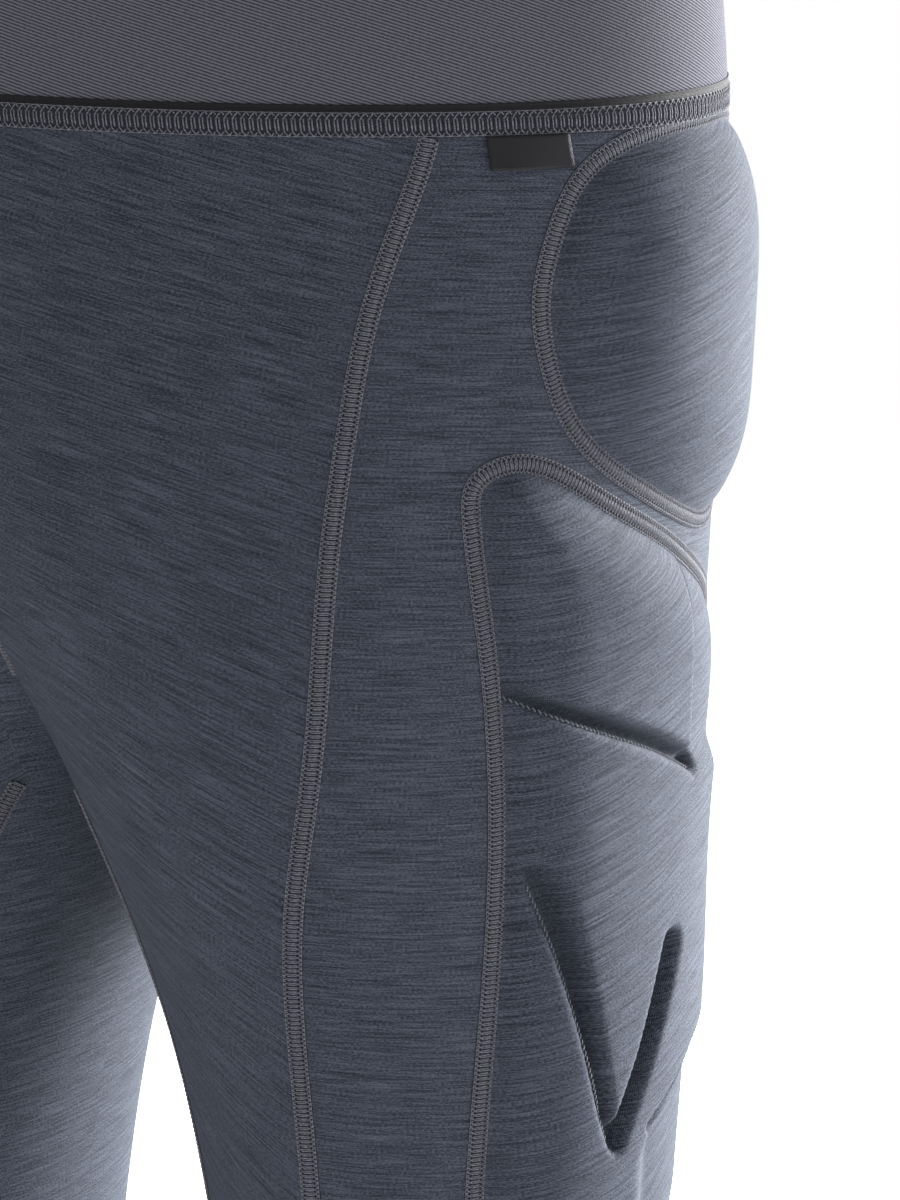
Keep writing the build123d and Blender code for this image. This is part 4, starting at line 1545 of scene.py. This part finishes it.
@dataclass
class MiddlePieces:
    """Gusset, middle seams, tailbone pad and labels."""

    left: HalfCloth
    tail_half: float = 38.0
    tail_top: float = 51.0
    tail_foot: float = 168.0
    tail_rise: float = 7.5
    tail_inset: float = 2.2
    tail_pitch: float = 2.0
    seam_wide: float = 5.8
    seam_pitch: float = 1.4

    def both(
        self, name: str, mask: np.ndarray, lift: np.ndarray | float, under: float | None, kind: str
    ) -> bpy.types.Object:
        """Join a left half and its mirror image.

        Args:
            name: Object name.
            mask: Faces kept on the left.
            lift: Outer face.
            under: Inner face of a closed slab, or None.
            kind: Grain name.

        Returns:
            The new object.
        """
        p, f, u, v = self.left.cut(kind, mask, lift, under)
        points, faces = np.concatenate([p, p * MIRROR]), np.concatenate([f, f[:, ::-1] + len(p)])
        item = to_object(name, points, faces)
        set_grain(item, np.append(u, -u), np.append(v, v))
        return item

    def mesh(self) -> None:
        """Make and dress the pieces."""
        gusset = self.both("crotch_gusset_cloth", self.left.masks()["gusset"], 0.0, None, "gusset")
        dress(gusset, Finish.JERSEY)
        say_sheet(gusset, 2.0 * GUSSET_HALF * MM)
        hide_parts("crotch_gusset")
        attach(gusset, "pelvis")
        self.tail_pad()
        self.tail_stitches()
        self.centre_seam("centre_front_seam", 46.0, False)
        self.centre_seam("centre_back_seam", 170.0, True)
        self.tag()
        self.care_label()

    def tail_width(self, depth: np.ndarray) -> np.ndarray:
        """Half width of the tailbone cover, which rounds to a point at its foot.

        Args:
            depth: Depths below the waist.

        Returns:
            Half widths.
        """
        down = smooth(depth, self.tail_top, self.tail_foot)
        return self.tail_half * np.sqrt(np.clip(1.0 - down**3, 0, 1))

    def tail_pad(self) -> None:
        """Make the tailbone cover and the foam in it."""
        fx, fd = self.left.flat[..., 0], self.left.depth
        within = np.minimum(np.minimum(self.tail_width(fd) - fx, fd - self.tail_top), self.tail_foot - fd)
        rise = self.tail_rise * smooth(within, 0.0, 9.0)
        behind = cell_middle(self.left.flat)[..., 1] > 0
        inset = cell_mean(within)
        cover = self.both("tailbone_cover_cloth", behind & (inset > 0.0), rise + 0.3, None, "back_panel")
        dress(cover, Finish.JERSEY)
        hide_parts("tailbone_cover")
        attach(cover, "pelvis")
        top = np.maximum(rise - 1.2, 1.0)
        foam = self.both("tailbone_foam_block", behind & (inset > 5.0), top, 0.5, "back_panel")
        dress(foam, Finish.FOAM)
        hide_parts("tailbone_foam")
        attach(foam, "pelvis")

    def tail_stitches(self) -> None:
        """Sew the small run stitches round the tailbone cover."""
        down = np.linspace(self.tail_top, self.tail_foot, 400)
        wide = self.tail_width(down)
        top = np.linspace(-self.tail_half, self.tail_half, 60)[1:-1]
        x = np.concatenate([-wide[::-1], top, wide])
        depth = np.concatenate([down[::-1], np.full(len(top), self.tail_top), down])
        x = x * (1.0 - self.tail_inset / self.tail_half)
        depth = np.clip(depth, self.tail_top + self.tail_inset, self.tail_foot - self.tail_inset)
        turn = SHAPE.turn_at_front(np.abs(x), depth, True)
        mirror = np.where((x < 0)[:, None], MIRROR, 1.0)
        normals = SHAPE.normal(turn, depth) * mirror
        points = SHAPE.point(turn, depth) * mirror + normals * 1.3
        pitch = self.tail_pitch
        strand = Strand(((0.0, -0.3, 0.0), (0.3 * pitch, 0.0, 0.45), (0.7 * pitch, 0.3, 0.0)), 0.26)
        threads, faces, _, _ = sew(points, normals, StitchPattern(1.0, pitch, 0.0, (strand,)))
        item = loose_threads("tailbone_cover_stitches", threads, faces)
        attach(item, "pelvis")

    def centre_seam(self, name: str, top: float, back: bool) -> None:
        """Sew a seam down the middle line, as far as the gusset.

        Args:
            name: Piece name, which is also its CAD node.
            top: Depth where it starts.
            back: Whether it is on the back.
        """
        depth = np.linspace(top, GUSSET_TOP, 200)
        turn = SHAPE.turn_at_front(np.zeros(len(depth)), depth, back)
        normals = SHAPE.normal(turn, depth)
        normals[:, 0] = 0.0
        pattern = flatlock(self.seam_wide, self.seam_pitch)
        item = stitched(name, sew(SHAPE.point(turn, depth), unit(normals), pattern), lean=0.0)
        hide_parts(name)
        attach(item, "pelvis")

    def care_label(self) -> None:
        """Make the blank satin care label that hangs inside the back of the band."""
        low, high = (np.array(corner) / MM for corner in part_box("care_label"))
        share = np.linspace(-1.0, 1.0, 16)[None, :]
        drop = np.linspace(0.0, 1.0, 16)[:, None]
        depth = -high[2] + 0.4 + drop * (high[2] - low[2] - 0.8) + 0 * share
        x = share * ((high[0] - low[0]) / 2.0 - 0.3) + 0 * drop
        spot = SHAPE.point(SHAPE.turn_at_front(np.abs(x), depth, True), depth)
        spot[..., 0] = x
        spot[..., 1] += high[1] - 0.3 - spot[..., 1].max() + 0.12 * np.sin(drop * 7.0)
        item = ribbon("care_label_satin", spot, spot - np.array([0.0, 0.25, 0.0]), x, depth, True)
        dress(item, Finish.SATIN)
        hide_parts("care_label")
        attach(item, "pelvis")

    def tag(self) -> None:
        """Make the plain woven side tag under the waist seam."""
        share = np.linspace(0.0, 1.0, 24)[None, :]
        drop = np.linspace(0.0, 1.0, 12)[:, None]
        depth = 46.5 + drop * 10.0 + 0 * share
        x = 148.0 + share * 17.0 + drop * 1.2
        turn = SHAPE.turn_at_front(x, depth)
        stand = (0.9 + 0.5 * drop * np.sin(share * 5.0))[..., None]
        spot, out = SHAPE.point(turn, depth), SHAPE.normal(turn, depth)
        item = ribbon("left_side_label_woven", spot + out * (stand + 0.35), spot + out * stand, x, depth)
        dress(item, Finish.TAG)
        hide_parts("left_side_label")
        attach(item, "pelvis")


# ---------------------------------------------------------------- studio
@dataclass(frozen=True)
class Studio:
    """White floor and air, a strong soft light behind the wearer's left and a weak one beside it."""

    azimuth: float = 29.3
    elevation: float = 10.6
    away: float = 2.1
    frame_tall_mm: float = 372.0
    sensor_mm: float = 24.0
    target: tuple = (0.0787, 0.0421, -0.2054)
    lit_place: tuple = (0.1, 0.0, -0.15)
    floor_level: float = -0.72

    def mesh(self) -> None:
        """Set up floor, lights, world and camera."""
        scene = bpy.context.scene
        scene.view_settings.view_transform = "Standard"
        bpy.ops.mesh.primitive_plane_add(size=60.0, location=(0.0, 0.0, self.floor_level))
        floor = bpy.context.object
        floor.name = "studio_floor"
        paper = bpy.data.materials.new("floor_paper_matt")
        paper.use_nodes = True
        shader = paper.node_tree.nodes["Principled BSDF"]
        shader.inputs["Base Color"].default_value = linear("FFFFFF")
        shader.inputs["Roughness"].default_value = 0.9
        floor.data.materials.append(paper)
        world = bpy.data.worlds.new("studio_air")
        world.use_nodes = True
        air = world.node_tree.nodes["Background"]
        air.inputs[0].default_value = linear("FFFFFF")
        air.inputs[1].default_value = 1.0
        scene.world = world
        self.light("rim_softbox", (1.08, 2.08, 0.15), 1.1, 375.0)
        self.light("side_softbox", (2.2, 0.9, 0.3), 1.0, 9.0)
        self.camera()

    def light(self, name: str, place: tuple, size: float, power: float) -> None:
        """Add one soft area light, pointed at the garment.

        Args:
            name: Light name.
            place: Where it stands.
            size: Edge length.
            power: Watts.
        """
        data = bpy.data.lights.new(name, "AREA")
        data.size = size
        data.energy = power
        item = bpy.data.objects.new(name, data)
        item.location = place
        item.rotation_euler = aim(place, self.lit_place)
        bpy.context.scene.collection.objects.link(item)

    def camera(self) -> None:
        """Stand the camera in front of the wearer's left."""
        az, el = math.radians(self.azimuth), math.radians(self.elevation)
        back = np.array([math.sin(az) * math.cos(el), -math.cos(az) * math.cos(el), math.sin(el)])
        place = np.array(self.target) + back * self.away
        data = bpy.data.cameras.new("studio_camera")
        data.sensor_fit = "VERTICAL"
        data.sensor_height = self.sensor_mm
        data.lens = self.sensor_mm * self.away / (self.frame_tall_mm * MM)
        data.clip_end = 50.0
        item = bpy.data.objects.new("studio_camera", data)
        item.location = tuple(place)
        item.rotation_euler = aim(tuple(place), self.target)
        bpy.context.scene.collection.objects.link(item)
        bpy.context.scene.camera = item


def aim(place: tuple, towards: tuple) -> tuple[float, float, float]:
    """Rotation that points an object's -Z at a place.

    Args:
        place: Where the object stands.
        towards: What it points at.

    Returns:
        Euler angles.
    """
    way = Vector(towards) - Vector(place)
    return tuple(way.to_track_quat("-Z", "Y").to_euler())


def main() -> None:
    """Build every sub-assembly in order."""
    logging.basicConfig(level=logging.INFO, format="%(message)s")
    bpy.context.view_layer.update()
    halves = {side: HalfCloth(side=side) for side, _ in SIDES}
    for side, word in SIDES:
        ClothPanels(side, word, halves[side]).mesh()
        FoamBlocks(side, word, halves[side]).mesh()
        Seams(side, word).mesh()
        GrooveStitches(side, word).mesh()
    WaistBand().mesh()
    HemBands().mesh()
    MiddlePieces(halves[1]).mesh()
    Studio().mesh()


if __name__ == "__main__":
    main()
